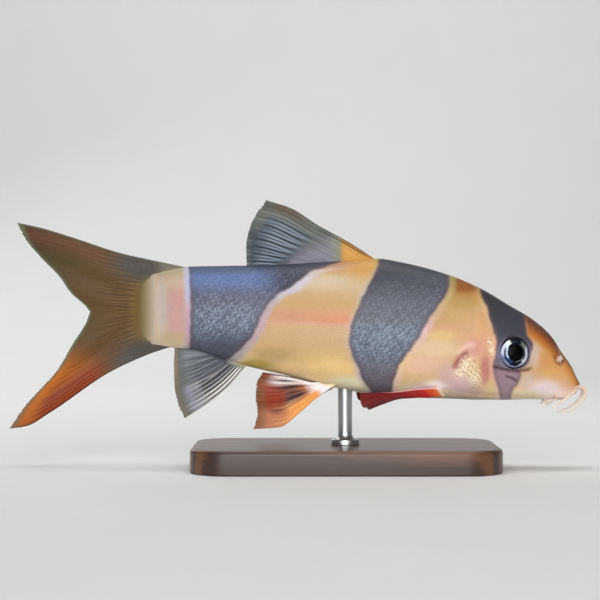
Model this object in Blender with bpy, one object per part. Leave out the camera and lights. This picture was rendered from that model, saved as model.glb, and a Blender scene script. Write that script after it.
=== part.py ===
"""A life-size clown loach (Chromobotia macracanthus), swimming, on a plain display stand.

Lengths are in metres. The head points along +X, the back along +Z and the fish's left side along +Y.
The origin is at the middle of the underside of the whole model, on the surface that the stand is on.
The fish is modelled straight, and bent() then gives every piece the sideways sweep of the tail.
"""

import bisect
import math

import bmesh
import bpy
from mathutils import Vector

MM = 0.001
# The gap that pieces which touch keep between their faces
GAP = 0.3 * MM
# Edges that bend by more than this angle are shaded sharp
SHARP = math.radians(40)

# Body: where it starts and ends, and where it is parted into head, trunk and tail stalk
SNOUT_X = 59.3 * MM
STALK_END_X = -31.0 * MM
BODY_LENGTH = SNOUT_X - STALK_END_X
FIRST_RING_X = SNOUT_X - 0.12 * MM
GILL_X = 37.9 * MM
STALK_X = -21.5 * MM
SIDES_ROUND_BODY = 40
HEAD_RINGS = 32
TRUNK_RINGS = 23
STALK_RINGS = 6

# Outline of the body at stations along it, in millimetres: place from snout to tail, height of the
# back, height of the belly, and half the width. The snout is a single point.
BODY_STATIONS = (
    (59.3, 17.3, 17.3, 0.0),
    (58.6, 19.0, 16.4, 1.4),
    (57.4, 21.5, 15.6, 2.4),
    (55.4, 24.4, 14.7, 3.3),
    (53.1, 27.9, 14.4, 4.1),
    (48.8, 31.6, 14.5, 5.1),
    (44.6, 34.1, 14.4, 6.0),
    (38.3, 37.8, 14.4, 7.0),
    (32.0, 40.5, 14.6, 7.6),
    (21.5, 43.3, 14.9, 7.9),
    (16.9, 44.0, 15.3, 7.8),
    (6.8, 43.4, 17.2, 7.3),
    (-3.7, 42.8, 19.8, 6.3),
    (-10.0, 42.6, 21.2, 5.4),
    (-16.3, 42.5, 23.0, 4.4),
    (-22.6, 42.4, 24.9, 3.4),
    (-28.0, 41.7, 25.3, 2.3),
    (-31.0, 41.0, 25.6, 1.2),
)
# Shape of the cross-section: place, height of the widest level as a share of the depth, and how
# square the upper and the lower half are, where 2 is an ellipse
SECTION_STATIONS = (
    (59.3, 0.50, 2.0, 2.0),
    (55.4, 0.42, 2.0, 2.4),
    (48.8, 0.44, 2.0, 2.7),
    (38.3, 0.42, 1.95, 2.7),
    (21.5, 0.42, 1.85, 2.5),
    (-3.7, 0.46, 1.9, 2.3),
    (-16.3, 0.48, 2.0, 2.2),
    (-31.0, 0.50, 2.0, 2.0),
)

# Gill cover: its rear edge bulges backwards low on the side, and stands proud of the trunk
GILL_BULGE = 5.9 * MM
GILL_BULGE_HEIGHT = 0.27
GILL_BULGE_SPREAD = 0.23
GILL_BULGE_REACH = 16.0 * MM
GILL_RISE = 0.4 * MM
GILL_RISE_LENGTH = 4.5 * MM
GILL_TOP = 0.62

# The tail sweeps towards the left side behind this place, by this much at the end of the stalk
SWEEP_START_X = 15.0 * MM
SWEEP_AT_STALK_END = 3.0 * MM
# The tips of the tail fin trail behind the sweep, towards the right side
TAIL_CUP = 5.0 * MM
TAIL_HALF_SPREAD = 21.0 * MM
TAIL_MIDDLE_Z = 32.8 * MM
TAIL_CUP_REACH = 15.0 * MM

# Eye: a flattened ball, sunk in the side of the head and facing straight out of it
EYE_X = 44.85 * MM
EYE_Z = 24.4 * MM
EYE_RADIUS = 3.8 * MM
EYE_HALF_DEPTH = 2.2 * MM
EYE_SINK = 1.4 * MM
EYE_SIDES = 20

# Slit under the eye, which hides a spine, as a groove from (x, z) to (x, z) in millimetres
SPINE_SLIT = ((40.3, 20.6), (43.8, 19.8), (47.7, 20.3))
SPINE_SLIT_RADIUS = 0.28 * MM

# Nostril: a short raised rim round a pit, high on the side of the snout
NOSTRIL_X = 54.2 * MM
NOSTRIL_Z = 23.4 * MM
NOSTRIL_RIM_RADIUS = 0.75 * MM
NOSTRIL_PIT_RADIUS = 0.4 * MM
NOSTRIL_RISE = 0.35 * MM
NOSTRIL_DEPTH = 0.6 * MM
NOSTRIL_SIDES = 10

# Mouth, seen from below: two lips and the line between them are half ellipses on the underside,
# each with the place of its front, its length and its half width
UPPER_LIP = (58.1 * MM, 5.6 * MM, 2.6 * MM)
MOUTH_LINE = (57.1 * MM, 4.4 * MM, 1.8 * MM)
LOWER_LIP = (56.3 * MM, 3.5 * MM, 1.25 * MM)
UPPER_LIP_RADIUS = 0.65 * MM
LOWER_LIP_RADIUS = 0.55 * MM
MOUTH_LINE_RADIUS = 0.25 * MM
LIP_SINK = 0.2 * MM
LIP_POINTS = 9

# Fins: thickness of the membrane and of the whole fin where it leaves the body, and how much thicker
# a ray is than the membrane
MEMBRANE = 0.5 * MM
FIN_ROOT_THICKNESS = 0.9 * MM
RAY_RISE = 0.3 * MM
# A forked ray parts into two over this stretch of its length
FORK_START = 0.3
FORK_LENGTH = 0.35

# Paired fins: where their roots run, as (x, sideways place) under the belly and (x, z) on the side,
# and the gap at their roots, which is wider because the root's own thickness lies across the slope
PELVIC_ROOT = ((7.5 * MM, 2.9 * MM), (6.0 * MM, 2.6 * MM), (4.5 * MM, 2.3 * MM))
PECTORAL_ROOT = ((29.9 * MM, 15.8 * MM), (29.4 * MM, 16.6 * MM), (28.9 * MM, 17.5 * MM))
PAIRED_FIN_GAP = 0.5 * MM

# Tail fin: the fork, and how far across a lobe its rays start, from the ones along the stalk inwards
TAIL_FORK_X = -44.2 * MM
TAIL_ROOT_PLACES = (0.0, 0.1, 0.2, 0.4, 0.7, 1.0)

# Barbels taper from root to tip
BARBEL_ROOT_RADIUS = 0.42 * MM
BARBEL_TIP_RADIUS = 0.16 * MM
BARBEL_SIDES = 7
BARBEL_RINGS = 9
# In millimetres: the (x, z) where each barbel leaves the head, and then as (x, sideways place, z)
# where it heads for, where it bends back to and where it ends
BARBELS = {
    "rostral_inner": ((58.9, 17.1), (61.1, 1.6, 17.1), (60.5, 2.8, 13.2), (55.0, 3.2, 11.7)),
    "rostral_outer": ((58.0, 17.0), (58.4, 3.4, 16.5), (55.6, 4.2, 14.9), (52.8, 4.4, 12.9)),
    "maxillary": ((53.6, 15.3), (54.0, 4.9, 14.8), (53.0, 5.1, 14.3), (51.6, 4.9, 14.4)),
    "mandibular": ((51.8, 14.7), (52.0, 2.3, 13.9), (51.7, 2.4, 13.6), (51.1, 2.3, 13.5)),
}

# Stand
BASE_LENGTH = 64.0 * MM
BASE_WIDTH = 34.0 * MM
BASE_HEIGHT = 5.0 * MM
BASE_CORNER = 8.0 * MM
BASE_EDGE = 0.8 * MM
ROD_X = 10.0 * MM
ROD_RADIUS = 1.5 * MM
ROD_COLLAR_RADIUS = 3.0 * MM
ROD_COLLAR_HEIGHT = 1.2 * MM
ROD_SIDES = 16

RIGHT = -1
LEFT = 1


class Profile:
    """A smooth curve through a few (place, value) stations, which never overshoots them."""

    def __init__(self, stations):
        stations = sorted(stations)
        self.places = [place for place, _ in stations]
        self.values = [value for _, value in stations]
        steps = [b - a for a, b in zip(self.places, self.places[1:])]
        rises = [(b - a) / step for a, b, step in zip(self.values, self.values[1:], steps)]
        self.slopes = [rises[0]]
        for i in range(1, len(rises)):
            before, after = rises[i - 1], rises[i]
            if before * after <= 0:
                self.slopes.append(0.0)
                continue
            nearer = 2 * steps[i] + steps[i - 1]
            further = steps[i] + 2 * steps[i - 1]
            self.slopes.append((nearer + further) / (nearer / before + further / after))
        self.slopes.append(rises[-1])

    def __call__(self, place):
        place = min(max(place, self.places[0]), self.places[-1])
        i = min(max(bisect.bisect_right(self.places, place) - 1, 0), len(self.places) - 2)
        step = self.places[i + 1] - self.places[i]
        t = (place - self.places[i]) / step
        start = self.values[i] * (1 + 2 * t) * (1 - t) ** 2 + self.slopes[i] * step * t * (1 - t) ** 2
        end = self.values[i + 1] * t * t * (3 - 2 * t) - self.slopes[i + 1] * step * t * t * (1 - t)
        return start + end


class Path:
    """A smooth curve through points, from 0 at the first to 1 at the last."""

    def __init__(self, points, places=None):
        points = [Vector(p) for p in points]
        if places is None:
            places = [0.0]
            for a, b in zip(points, points[1:]):
                places.append(places[-1] + (b - a).length)
            places = [place / places[-1] for place in places]
        self.along = [Profile([(s, p[i]) for s, p in zip(places, points)]) for i in range(3)]

    def __call__(self, t):
        return Vector([axis(t) for axis in self.along])


def arc(start, towards, bend, end):
    """A curve that leaves start towards a second point and reaches end from a third one."""

    def point(t):
        s = 1 - t
        return start * s**3 + towards * (3 * s * s * t) + bend * (3 * s * t * t) + end * t**3

    return point


def smooth_step(t):
    t = min(max(t, 0.0), 1.0)
    return t * t * (3 - 2 * t)


def share_of_body(x):
    """0 at the snout and 1 at the end of the stalk, finer near the snout, which it makes round."""
    return math.sqrt(max(SNOUT_X - x, 0.0) / BODY_LENGTH)


def along_body(stations, column):
    return Profile([(share_of_body(row[0] * MM), row[column]) for row in stations])


BACK = along_body(BODY_STATIONS, 1)
BELLY = along_body(BODY_STATIONS, 2)
HALF_WIDTH = along_body(BODY_STATIONS, 3)
WIDEST = along_body(SECTION_STATIONS, 1)
UPPER_SQUARENESS = along_body(SECTION_STATIONS, 2)
LOWER_SQUARENESS = along_body(SECTION_STATIONS, 3)


def back_z(x):
    return BACK(share_of_body(x)) * MM


def belly_z(x):
    return BELLY(share_of_body(x)) * MM


def gill_edge_x(height):
    """Where the head ends on the side of the fish, at a height given as a share of the depth."""
    off = (height - GILL_BULGE_HEIGHT) / GILL_BULGE_SPREAD
    return GILL_X - GILL_BULGE * math.exp(-off * off)


def gill_rise(x, height):
    """How far the gill cover stands out of the body's even surface."""
    ahead = x - gill_edge_x(height)
    if ahead < -GAP / 2:
        return 0.0
    on_side = smooth_step((GILL_TOP - height) / 0.15) * smooth_step(height / 0.1)
    return GILL_RISE * on_side * math.exp(-((ahead / GILL_RISE_LENGTH) ** 2))


def body_point(x, angle):
    """The point of the body's surface at x. Angle 0 is on the left side and a quarter turn is on the back."""
    share = share_of_body(x)
    top, bottom = BACK(share) * MM, BELLY(share) * MM
    widest = bottom + WIDEST(share) * (top - bottom)
    across, up = math.cos(angle), math.sin(angle)
    squareness = UPPER_SQUARENESS(share) if up >= 0 else LOWER_SQUARENESS(share)
    reach = (top - widest) if up >= 0 else (widest - bottom)
    y = math.copysign(abs(across) ** (2 / squareness), across) * HALF_WIDTH(share) * MM
    z = widest + math.copysign(abs(up) ** (2 / squareness), up) * reach
    height = (z - bottom) / max(top - bottom, 1e-9)
    return Vector((x, y + across * gill_rise(x, height), z))


def side_point(x, z, side):
    """The point of the body's surface at x and height z, on one side of the fish."""
    low, high = -math.pi / 2, math.pi / 2
    for _ in range(40):
        angle = (low + high) / 2
        if body_point(x, angle).z < z:
            low = angle
        else:
            high = angle
    point = body_point(x, angle)
    return Vector((x, side * point.y, point.z)), angle


def under_point(x, y):
    """The point of the body's underside at x and y, and its angle."""
    low, high = -math.pi / 2, 0.0
    for _ in range(40):
        angle = (low + high) / 2
        if body_point(x, angle).y < abs(y):
            low = angle
        else:
            high = angle
    point = body_point(x, angle)
    return Vector((x, math.copysign(point.y, y), point.z)), angle


def outward(x, angle, side):
    """The direction straight out of the body's surface."""
    step = 0.2 * MM
    along = body_point(x + step, angle) - body_point(x - step, angle)
    around = body_point(x, angle + 0.02) - body_point(x, angle - 0.02)
    normal = around.cross(along).normalized()
    return Vector((normal.x, side * normal.y, normal.z))


def sweep(x):
    behind = max(SWEEP_START_X - x, 0.0)
    return SWEEP_AT_STALK_END * (behind / (SWEEP_START_X - STALK_END_X)) ** 2


def bent(point):
    return Vector((point.x, point.y + sweep(point.x), point.z))


def finish(name, vertices, faces, material):
    """Makes the object, bent with the tail's sweep, with its faces pointing out."""
    mesh = bpy.data.meshes.new(name)
    mesh.from_pydata([bent(Vector(v)) for v in vertices], [], faces)
    work = bmesh.new()
    work.from_mesh(mesh)
    bmesh.ops.recalc_face_normals(work, faces=work.faces)
    work.to_mesh(mesh)
    work.free()
    mesh.shade_smooth()
    mesh.set_sharp_from_angle(angle=SHARP)
    mesh.materials.append(material)
    made = bpy.data.objects.new(name, mesh)
    bpy.context.scene.collection.objects.link(made)
    return made


def skin_rings(rings, start, end):
    """Vertices and faces of a closed form: rings of points, closed by a fan of faces at each end."""
    count = len(rings[0])
    vertices = [start, end] + [point for ring in rings for point in ring]
    faces = []
    for i in range(count):
        after = (i + 1) % count
        faces.append((0, 2 + after, 2 + i))
        last = 2 + (len(rings) - 1) * count
        faces.append((1, last + i, last + after))
        for row in range(len(rings) - 1):
            first = 2 + row * count
            second = first + count
            faces.append((first + i, first + after, second + after, second + i))
    return vertices, faces


def body_ring(x, shift=0.0):
    """A ring of surface points. Near the gill cover it follows the cover's curved edge."""
    away = (x - GILL_X) / GILL_BULGE_REACH
    follow = (1 - away * away) ** 2 if abs(away) < 1 else 0.0
    points = []
    for i in range(SIDES_ROUND_BODY):
        angle = 2 * math.pi * i / SIDES_ROUND_BODY
        point = body_point(x, angle)
        height = (point.z - belly_z(x)) / max(back_z(x) - belly_z(x), 1e-9)
        warped = x + (gill_edge_x(height) - GILL_X) * follow + shift
        points.append(body_point(warped, angle))
    return points


def body_length(name, front, back, rings, start, end, front_shift, material):
    """One length of the body, whose rings lie closer together towards the snout."""
    ahead, behind = share_of_body(front), share_of_body(back)
    loops = []
    for i in range(rings + 1):
        share = ahead + (behind - ahead) * i / rings
        x = SNOUT_X - BODY_LENGTH * share * share
        loops.append(body_ring(x, front_shift if i == 0 else 0.0))
    vertices, faces = skin_rings(loops, start, end)
    return finish(name, vertices, faces, material)


def cap_middle(x):
    return Vector((x, 0.0, (back_z(x) + belly_z(x)) / 2))


def tube(name, path, radius_at, sides, rings, material):
    """A closed round tube along a path, with a radius that is a function of the way along it."""
    loops = []
    turns = [2 * math.pi * k / sides for k in range(sides)]
    reference = Vector((0.0, 1.0, 0.0))
    for i in range(rings + 1):
        t = i / rings
        along = (path(min(t + 0.02, 1.0)) - path(max(t - 0.02, 0.0))).normalized()
        aside = (reference - along * reference.dot(along)).normalized()
        above = along.cross(aside)
        radius = radius_at(t)
        loops.append([path(t) + (aside * math.cos(a) + above * math.sin(a)) * radius for a in turns])
        reference = aside
    vertices, faces = skin_rings(loops, path(0.0), path(1.0))
    return finish(name, vertices, faces, material)


def ball(name, centre, axis, radius, half_depth, sides, material):
    """A ball flattened along an axis."""
    turn = Vector((0.0, 1.0, 0.0)).rotation_difference(axis)
    turns = [2 * math.pi * k / sides for k in range(sides)]
    rows = sides // 2
    loops = []
    for row in range(1, rows):
        polar = math.pi * row / rows
        wide, deep = radius * math.sin(polar), half_depth * math.cos(polar)
        loops.append([centre + turn @ Vector((wide * math.cos(a), deep, wide * math.sin(a))) for a in turns])
    pole = axis * half_depth
    vertices, faces = skin_rings(loops, centre + pole, centre - pole)
    return finish(name, vertices, faces, material)


def post(name, foot, top, radius, sides, material):
    """A straight round post between two points."""
    return tube(name, Path([foot, (foot + top) / 2, top]), lambda t: radius, sides, 1, material)


def largest_shell(mesh):
    """Drops every closed surface of a mesh but the one with the most volume."""
    work = bmesh.new()
    work.from_mesh(mesh)
    unseen = set(work.faces)
    shells = []
    while unseen:
        shell, edge = set(), [unseen.pop()]
        while edge:
            face = edge.pop()
            shell.add(face)
            for side in face.edges:
                for other in side.link_faces:
                    if other in unseen:
                        unseen.remove(other)
                        edge.append(other)
        shells.append(shell)

    def volume(shell):
        total = 0.0
        for face in shell:
            corners = [v.co for v in face.verts]
            for second, third in zip(corners[1:], corners[2:]):
                total += corners[0].dot(second.cross(third))
        return total

    shells.sort(key=volume)
    scraps = [face for shell in shells[:-1] for face in shell]
    bmesh.ops.delete(work, geom=scraps, context="FACES")
    work.to_mesh(mesh)
    work.free()


def join_and_cut(body, added, removed):
    """Fuses the added pieces with the body and cuts the removed ones from it, in code."""
    for pieces, operation in ((added, "UNION"), (removed, "DIFFERENCE")):
        if not pieces:
            continue
        group = bpy.data.collections.new(operation.lower())
        for piece in pieces:
            bpy.context.scene.collection.objects.unlink(piece)
            group.objects.link(piece)
        bpy.context.scene.collection.children.link(group)
        change = body.modifiers.new(operation.lower(), "BOOLEAN")
        change.operation = operation
        change.operand_type = "COLLECTION"
        change.collection = group
        change.solver = "EXACT"
        bpy.context.view_layer.update()
        graph = bpy.context.evaluated_depsgraph_get()
        changed = bpy.data.meshes.new_from_object(body.evaluated_get(graph))
        body.modifiers.clear()
        body.data = changed
        for piece in pieces:
            bpy.data.objects.remove(piece)
        bpy.data.collections.remove(group)
    largest_shell(body.data)
    body.data.shade_smooth()
    body.data.set_sharp_from_angle(angle=SHARP)


class Fin:
    """A fin's middle surface, spanned between its root, its first ray, its far edge and its last ray."""

    def __init__(self, root, first, margin, last, cup=0.0):
        self.root, self.first, self.margin, self.last = root, first, margin, last
        self.cup = cup

    def __call__(self, across, out):
        between_rays = self.first(out) * (1 - across) + self.last(out) * across
        between_ends = self.root(across) * (1 - out) + self.margin(across) * out
        near_root = self.root(0.0) * (1 - across) + self.root(1.0) * across
        near_edge = self.margin(0.0) * (1 - across) + self.margin(1.0) * across
        point = between_rays + between_ends - near_root * (1 - out) - near_edge * out
        off = (point.z - TAIL_MIDDLE_Z) / TAIL_HALF_SPREAD
        behind = smooth_step((STALK_END_X - point.x) / TAIL_CUP_REACH)
        return point - Vector((0.0, self.cup * off * off * behind, 0.0))

    def facing(self, across, out):
        step = 0.01
        a, b = min(across + step, 1.0), max(across - step, 0.0)
        c, d = min(out + step, 1.0), max(out - step, 0.0)
        return (self(a, out) - self(b, out)).cross(self(across, c) - self(across, d)).normalized()


def ray_columns(simple, forked):
    """Heights of a fin's columns of points, near the root and near the far edge, from 0 to 1.

    A simple ray is one raised column. A forked ray is one near the root and two near the far edge.
    Between two rays lies a column at the level of the membrane.
    """
    columns = []
    for _ in range(simple):
        columns += [(1.0, 1.0), (0.0, 0.0)]
    for _ in range(forked):
        columns += [(0.6, 1.0), (1.0, 0.2), (0.6, 1.0), (0.0, 0.0)]
    return columns[:-1]


def fin_half_thickness(column, out):
    near_root, near_edge = column
    forked = smooth_step((out - FORK_START) / FORK_LENGTH)
    ray = RAY_RISE * (near_root * (1 - forked) + near_edge * forked) * (1 - 0.6 * out)
    root_share = 1 - smooth_step(out / 0.2)
    return (MEMBRANE + ray * (1 - root_share) + (FIN_ROOT_THICKNESS - MEMBRANE) * root_share) / 2


def fin_object(name, fin, columns, rows, material):
    """A fin as a thin closed sheet with raised rays, with both faces split into triangles alike."""
    last = len(columns) - 1
    near, far = [], []
    for i, column in enumerate(columns):
        for j in range(rows + 1):
            across, out = i / last, j / rows
            middle = fin(across, out)
            reach = fin.facing(across, out) * fin_half_thickness(column, out)
            near.append(middle + reach)
            far.append(middle - reach)

    def index(i, j, side):
        return side * len(near) + i * (rows + 1) + j

    faces = []
    for i in range(last):
        for j in range(rows):
            for side in (0, 1):
                a, b = index(i, j, side), index(i + 1, j, side)
                c, d = index(i + 1, j + 1, side), index(i, j + 1, side)
                faces += [(a, b, c), (a, c, d)]
    rim = [(i, 0) for i in range(last)] + [(last, j) for j in range(rows)]
    rim += [(i, rows) for i in range(last, 0, -1)] + [(0, j) for j in range(rows, 0, -1)]
    for (i, j), (k, m) in zip(rim, rim[1:] + rim[:1]):
        a, b = index(i, j, 0), index(k, m, 0)
        c, d = index(k, m, 1), index(i, j, 1)
        faces += [(a, b, c), (a, c, d)]
    return finish(name, near + far, faces, material)


def midline(points):
    """Points given as (x, z) in millimetres, on the fish's middle plane."""
    return [Vector((x, 0.0, z)) * MM for x, z in points]


def on_side(points, side):
    """Points given as (x, distance from the middle, z) in millimetres, on one side of the fish."""
    return [Vector((x, side * y, z)) * MM for x, y, z in points]


def dorsal_fin():
    root_front, root_end = 16.6 * MM, 0.2 * MM
    stations = [root_front + (root_end - root_front) * k / 4 for k in range(5)]
    root = [Vector((x, 0.0, back_z(x) + GAP)) for x in stations]
    margin = midline([(-6.6, 56.3), (-8.9, 53.2), (-10.3, 49.8), (-10.9, 46.4), (-10.7, 43.2)])
    first = [root[0], *midline([(11.0, 47.3), (4.7, 50.4), (-1.6, 53.9)]), margin[0]]
    last = [root[-1], *midline([(-5.0, 43.3)]), margin[-1]]
    return Fin(Path(root), Path(first), Path(margin), Path(last))


def anal_fin():
    root_front, root_end = -10.6 * MM, -19.4 * MM
    stations = [root_front + (root_end - root_front) * k / 4 for k in range(5)]
    root = [Vector((x, 0.0, belly_z(x) - GAP)) for x in stations]
    margin = midline([(-23.9, 10.3), (-25.4, 13.4), (-26.1, 17.5), (-26.2, 21.4), (-26.0, 24.9)])
    first = [root[0], *midline([(-15.0, 16.6), (-19.4, 13.1)]), margin[0]]
    last = [root[-1], *midline([(-22.8, 24.5)]), margin[-1]]
    return Fin(Path(root), Path(first), Path(margin), Path(last))


def pelvic_fin(side):
    root = []
    for x, y in PELVIC_ROOT:
        point, angle = under_point(x, side * y)
        root.append(point + outward(x, angle, side) * PAIRED_FIN_GAP)
    margin = [(-9.1, 7.4, 8.7), (-8.4, 6.6, 11.8), (-8.7, 5.4, 15.0), (-8.6, 4.5, 17.8), (-7.4, 3.8, 19.9)]
    margin = on_side(margin, side)
    first = [root[0], *on_side([(4.3, 4.1, 15.2), (0.5, 5.5, 12.0), (-3.7, 6.7, 9.1)], side), margin[0]]
    last = [root[-1], *on_side([(-1.0, 3.2, 19.0)], side), margin[-1]]
    return Fin(Path(root), Path(first), Path(margin), Path(last))


def pectoral_fin(side):
    root = []
    for x, z in PECTORAL_ROOT:
        point, angle = side_point(x, z, side)
        root.append(point + outward(x, angle, side) * PAIRED_FIN_GAP)
    margin = [(14.4, 13.4, 13.1), (13.3, 12.6, 13.5), (12.7, 11.2, 14.8), (12.5, 9.4, 16.3)]
    margin = on_side(margin, side)
    first = [root[0], *on_side([(26.4, 8.9, 15.4), (21.5, 10.9, 15.3), (17.2, 12.7, 14.2)], side), margin[0]]
    last = [root[-1], *on_side([(24.6, 8.4, 17.1), (18.6, 9.0, 16.4)], side), margin[-1]]
    return Fin(Path(root), Path(first), Path(margin), Path(last))


def tail_lobe(on_stalk, behind_stalk, first, margin, fork_z):
    """One lobe of the tail fin. The two lobes meet, a gap apart, on the line from stalk to fork."""
    root_x = STALK_END_X - GAP
    root = on_stalk + [Vector((root_x, 0.0, z)) for z in (*behind_stalk, fork_z)]
    margin = midline(margin) + [Vector((TAIL_FORK_X, 0.0, fork_z))]
    first = [root[0], *midline(first), margin[0]]
    last = [root[-1], (root[-1] + margin[-1]) / 2, margin[-1]]
    return Fin(Path(root, TAIL_ROOT_PLACES), Path(first), Path(margin), Path(last), TAIL_CUP)


def tail_fin_upper():
    on_stalk = [Vector((x, 0.0, back_z(x) + GAP)) for x in (-23.0 * MM, -27.0 * MM)]
    behind_stalk = (back_z(STALK_END_X), 38.8 * MM, 36.2 * MM)
    first = [(-31.0, 43.8), (-36.9, 45.1), (-47.8, 48.6), (-54.4, 50.6)]
    margin = [(-59.5, 51.7), (-58.0, 48.3), (-54.9, 44.4), (-50.7, 40.2), (-48.3, 36.8), (-45.2, 34.0)]
    return tail_lobe(on_stalk, behind_stalk, first, margin, TAIL_MIDDLE_Z + GAP / 2)


def tail_fin_lower():
    on_stalk = [Vector((x, 0.0, belly_z(x) - GAP)) for x in (-26.5 * MM, -28.8 * MM)]
    behind_stalk = (belly_z(STALK_END_X), 27.9 * MM, 30.5 * MM)
    first = [(-31.0, 24.0), (-39.4, 20.2), (-52.3, 11.5), (-57.0, 8.8)]
    margin = [(-60.7, 8.2), (-58.6, 11.6), (-54.9, 16.0), (-51.2, 20.4), (-47.9, 26.0), (-45.1, 30.4)]
    return tail_lobe(on_stalk, behind_stalk, first, margin, TAIL_MIDDLE_Z - GAP / 2)


def barbel(name, start, towards, bend, end, side, material):
    """A barbel that leaves the side of the head at (x, z) and bends back to its tip."""
    x, z = start[0] * MM, start[1] * MM
    point, angle = side_point(x, z, side)
    root = point + outward(x, angle, side) * GAP
    path = arc(root, *on_side([towards, bend, end], side))
    taper = BARBEL_TIP_RADIUS - BARBEL_ROOT_RADIUS
    return tube(name, path, lambda t: BARBEL_ROOT_RADIUS + taper * t, BARBEL_SIDES, BARBEL_RINGS, material)


def eye(name, side, grow, material):
    """An eyeball, or with some growth the socket that is cut for it."""
    point, angle = side_point(EYE_X, EYE_Z, side)
    axis = outward(EYE_X, angle, side)
    centre = point - axis * EYE_SINK
    return ball(name, centre, axis, EYE_RADIUS + grow, EYE_HALF_DEPTH + grow, EYE_SIDES, material)


def nostril_pieces(side, material):
    """The raised rim of a nostril, and the pit that is cut in it."""
    point, angle = side_point(NOSTRIL_X, NOSTRIL_Z, side)
    away = outward(NOSTRIL_X, angle, side)
    rise, sink = away * NOSTRIL_RISE, away * NOSTRIL_DEPTH
    rim = post("rim", point - sink, point + rise, NOSTRIL_RIM_RADIUS, NOSTRIL_SIDES, material)
    pit = post("pit", point - sink / 2, point + rise * 2, NOSTRIL_PIT_RADIUS, NOSTRIL_SIDES, material)
    return rim, pit


def spine_slit(side, material):
    """The groove under the eye."""
    points = [side_point(x * MM, z * MM, side)[0] for x, z in SPINE_SLIT]
    thin = SPINE_SLIT_RADIUS * 0.4
    return tube("slit", Path(points), lambda t: thin + (SPINE_SLIT_RADIUS - thin) * t, 6, 5, material)


def mouth_tube(name, curve, radius, sink, sides, rings, material):
    """A tube laid along a half ellipse on the underside of the snout, thinner at its two ends."""
    front, length, half_width = curve
    points = []
    for k in range(LIP_POINTS):
        turn = math.pi * (k / (LIP_POINTS - 1) - 0.5)
        x, y = front - length * (1 - math.cos(turn)), half_width * math.sin(turn)
        point, angle = under_point(x, y)
        points.append(point - outward(x, angle, math.copysign(1, y)) * sink)

    def radius_at(t):
        return radius * (1 - 0.6 * abs(2 * t - 1) ** 4)

    return tube(name, Path(points), radius_at, sides, rings, material)


def lips(material):
    """Two fleshy lips round a mouth that opens under the snout."""
    upper = mouth_tube("upper_lip", UPPER_LIP, UPPER_LIP_RADIUS, LIP_SINK, 8, 14, material)
    lower = mouth_tube("lower_lip", LOWER_LIP, LOWER_LIP_RADIUS, LIP_SINK, 8, 10, material)
    return [upper, lower]


def mouth_line(material):
    """What is cut away between the lips."""
    lift = -UPPER_LIP_RADIUS / 3
    return mouth_tube("mouth_line", MOUTH_LINE, MOUTH_LINE_RADIUS, lift, 6, 12, material)


def material(name, colour, roughness, metallic=0.0):
    made = bpy.data.materials.new(name)
    made.use_nodes = True
    shader = made.node_tree.nodes["Principled BSDF"]
    shader.inputs["Base Color"].default_value = (*colour, 1.0)
    shader.inputs["Roughness"].default_value = roughness
    shader.inputs["Metallic"].default_value = metallic
    made.diffuse_color = (*colour, 1.0)
    return made


def rounded_base(name, material_used):
    """The stand's base: a flat plate with round corners and a soft upper edge."""
    mesh = bpy.data.meshes.new(name)
    work = bmesh.new()
    bmesh.ops.create_cube(work, size=1.0)
    bmesh.ops.scale(work, vec=(BASE_LENGTH, BASE_WIDTH, BASE_HEIGHT), verts=work.verts)
    bmesh.ops.translate(work, vec=(ROD_X, 0.0, BASE_HEIGHT / 2), verts=work.verts)
    upright = [e for e in work.edges if abs(e.verts[0].co.z - e.verts[1].co.z) > BASE_HEIGHT / 2]
    bmesh.ops.bevel(work, geom=upright, offset=BASE_CORNER, segments=6, profile=0.5, affect="EDGES")
    over = [e for e in work.edges if min(v.co.z for v in e.verts) > BASE_HEIGHT * 0.9]
    bmesh.ops.bevel(work, geom=over, offset=BASE_EDGE, segments=2, profile=0.5, affect="EDGES")
    work.to_mesh(mesh)
    work.free()
    mesh.materials.append(material_used)
    made = bpy.data.objects.new(name, mesh)
    bpy.context.scene.collection.objects.link(made)
    return made


def stand_rod(name, material_used):
    """A round rod with a collar at its foot. Its flat top meets the belly."""
    foot, top = BASE_HEIGHT + GAP, belly_z(ROD_X) - GAP
    outline = [
        (ROD_COLLAR_RADIUS, foot),
        (ROD_COLLAR_RADIUS, foot + ROD_COLLAR_HEIGHT),
        (ROD_RADIUS, foot + ROD_COLLAR_HEIGHT * 1.6),
        (ROD_RADIUS, top),
    ]
    turns = [2 * math.pi * k / ROD_SIDES for k in range(ROD_SIDES)]
    loops = [[Vector((ROD_X + r * math.cos(a), r * math.sin(a), z)) for a in turns] for r, z in outline]
    vertices, faces = skin_rings(loops, Vector((ROD_X, 0, foot)), Vector((ROD_X, 0, top)))
    return finish(name, vertices, faces, material_used)


def body_nodes(flesh):
    """Head, trunk and tail stalk, with the head's sockets, nostrils, lips and grooves."""
    gill_middle = cap_middle(GILL_X)
    behind_gill = gill_middle - Vector((GAP, 0.0, 0.0))
    snout = Vector((SNOUT_X, 0.0, back_z(SNOUT_X)))
    stalk_x = STALK_X - GAP
    head = body_length("head", FIRST_RING_X, GILL_X, HEAD_RINGS, snout, gill_middle, 0.0, flesh)
    body_length("trunk", GILL_X, STALK_X, TRUNK_RINGS, behind_gill, cap_middle(STALK_X), -GAP, flesh)
    ends = cap_middle(stalk_x), cap_middle(STALK_END_X)
    body_length("tail_stalk", stalk_x, STALK_END_X, STALK_RINGS, *ends, 0.0, flesh)

    added, removed = lips(flesh), [mouth_line(flesh)]
    for side in (RIGHT, LEFT):
        rim, pit = nostril_pieces(side, flesh)
        added.append(rim)
        removed += [pit, eye("socket", side, GAP, flesh), spine_slit(side, flesh)]
    join_and_cut(head, added, removed)


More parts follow.
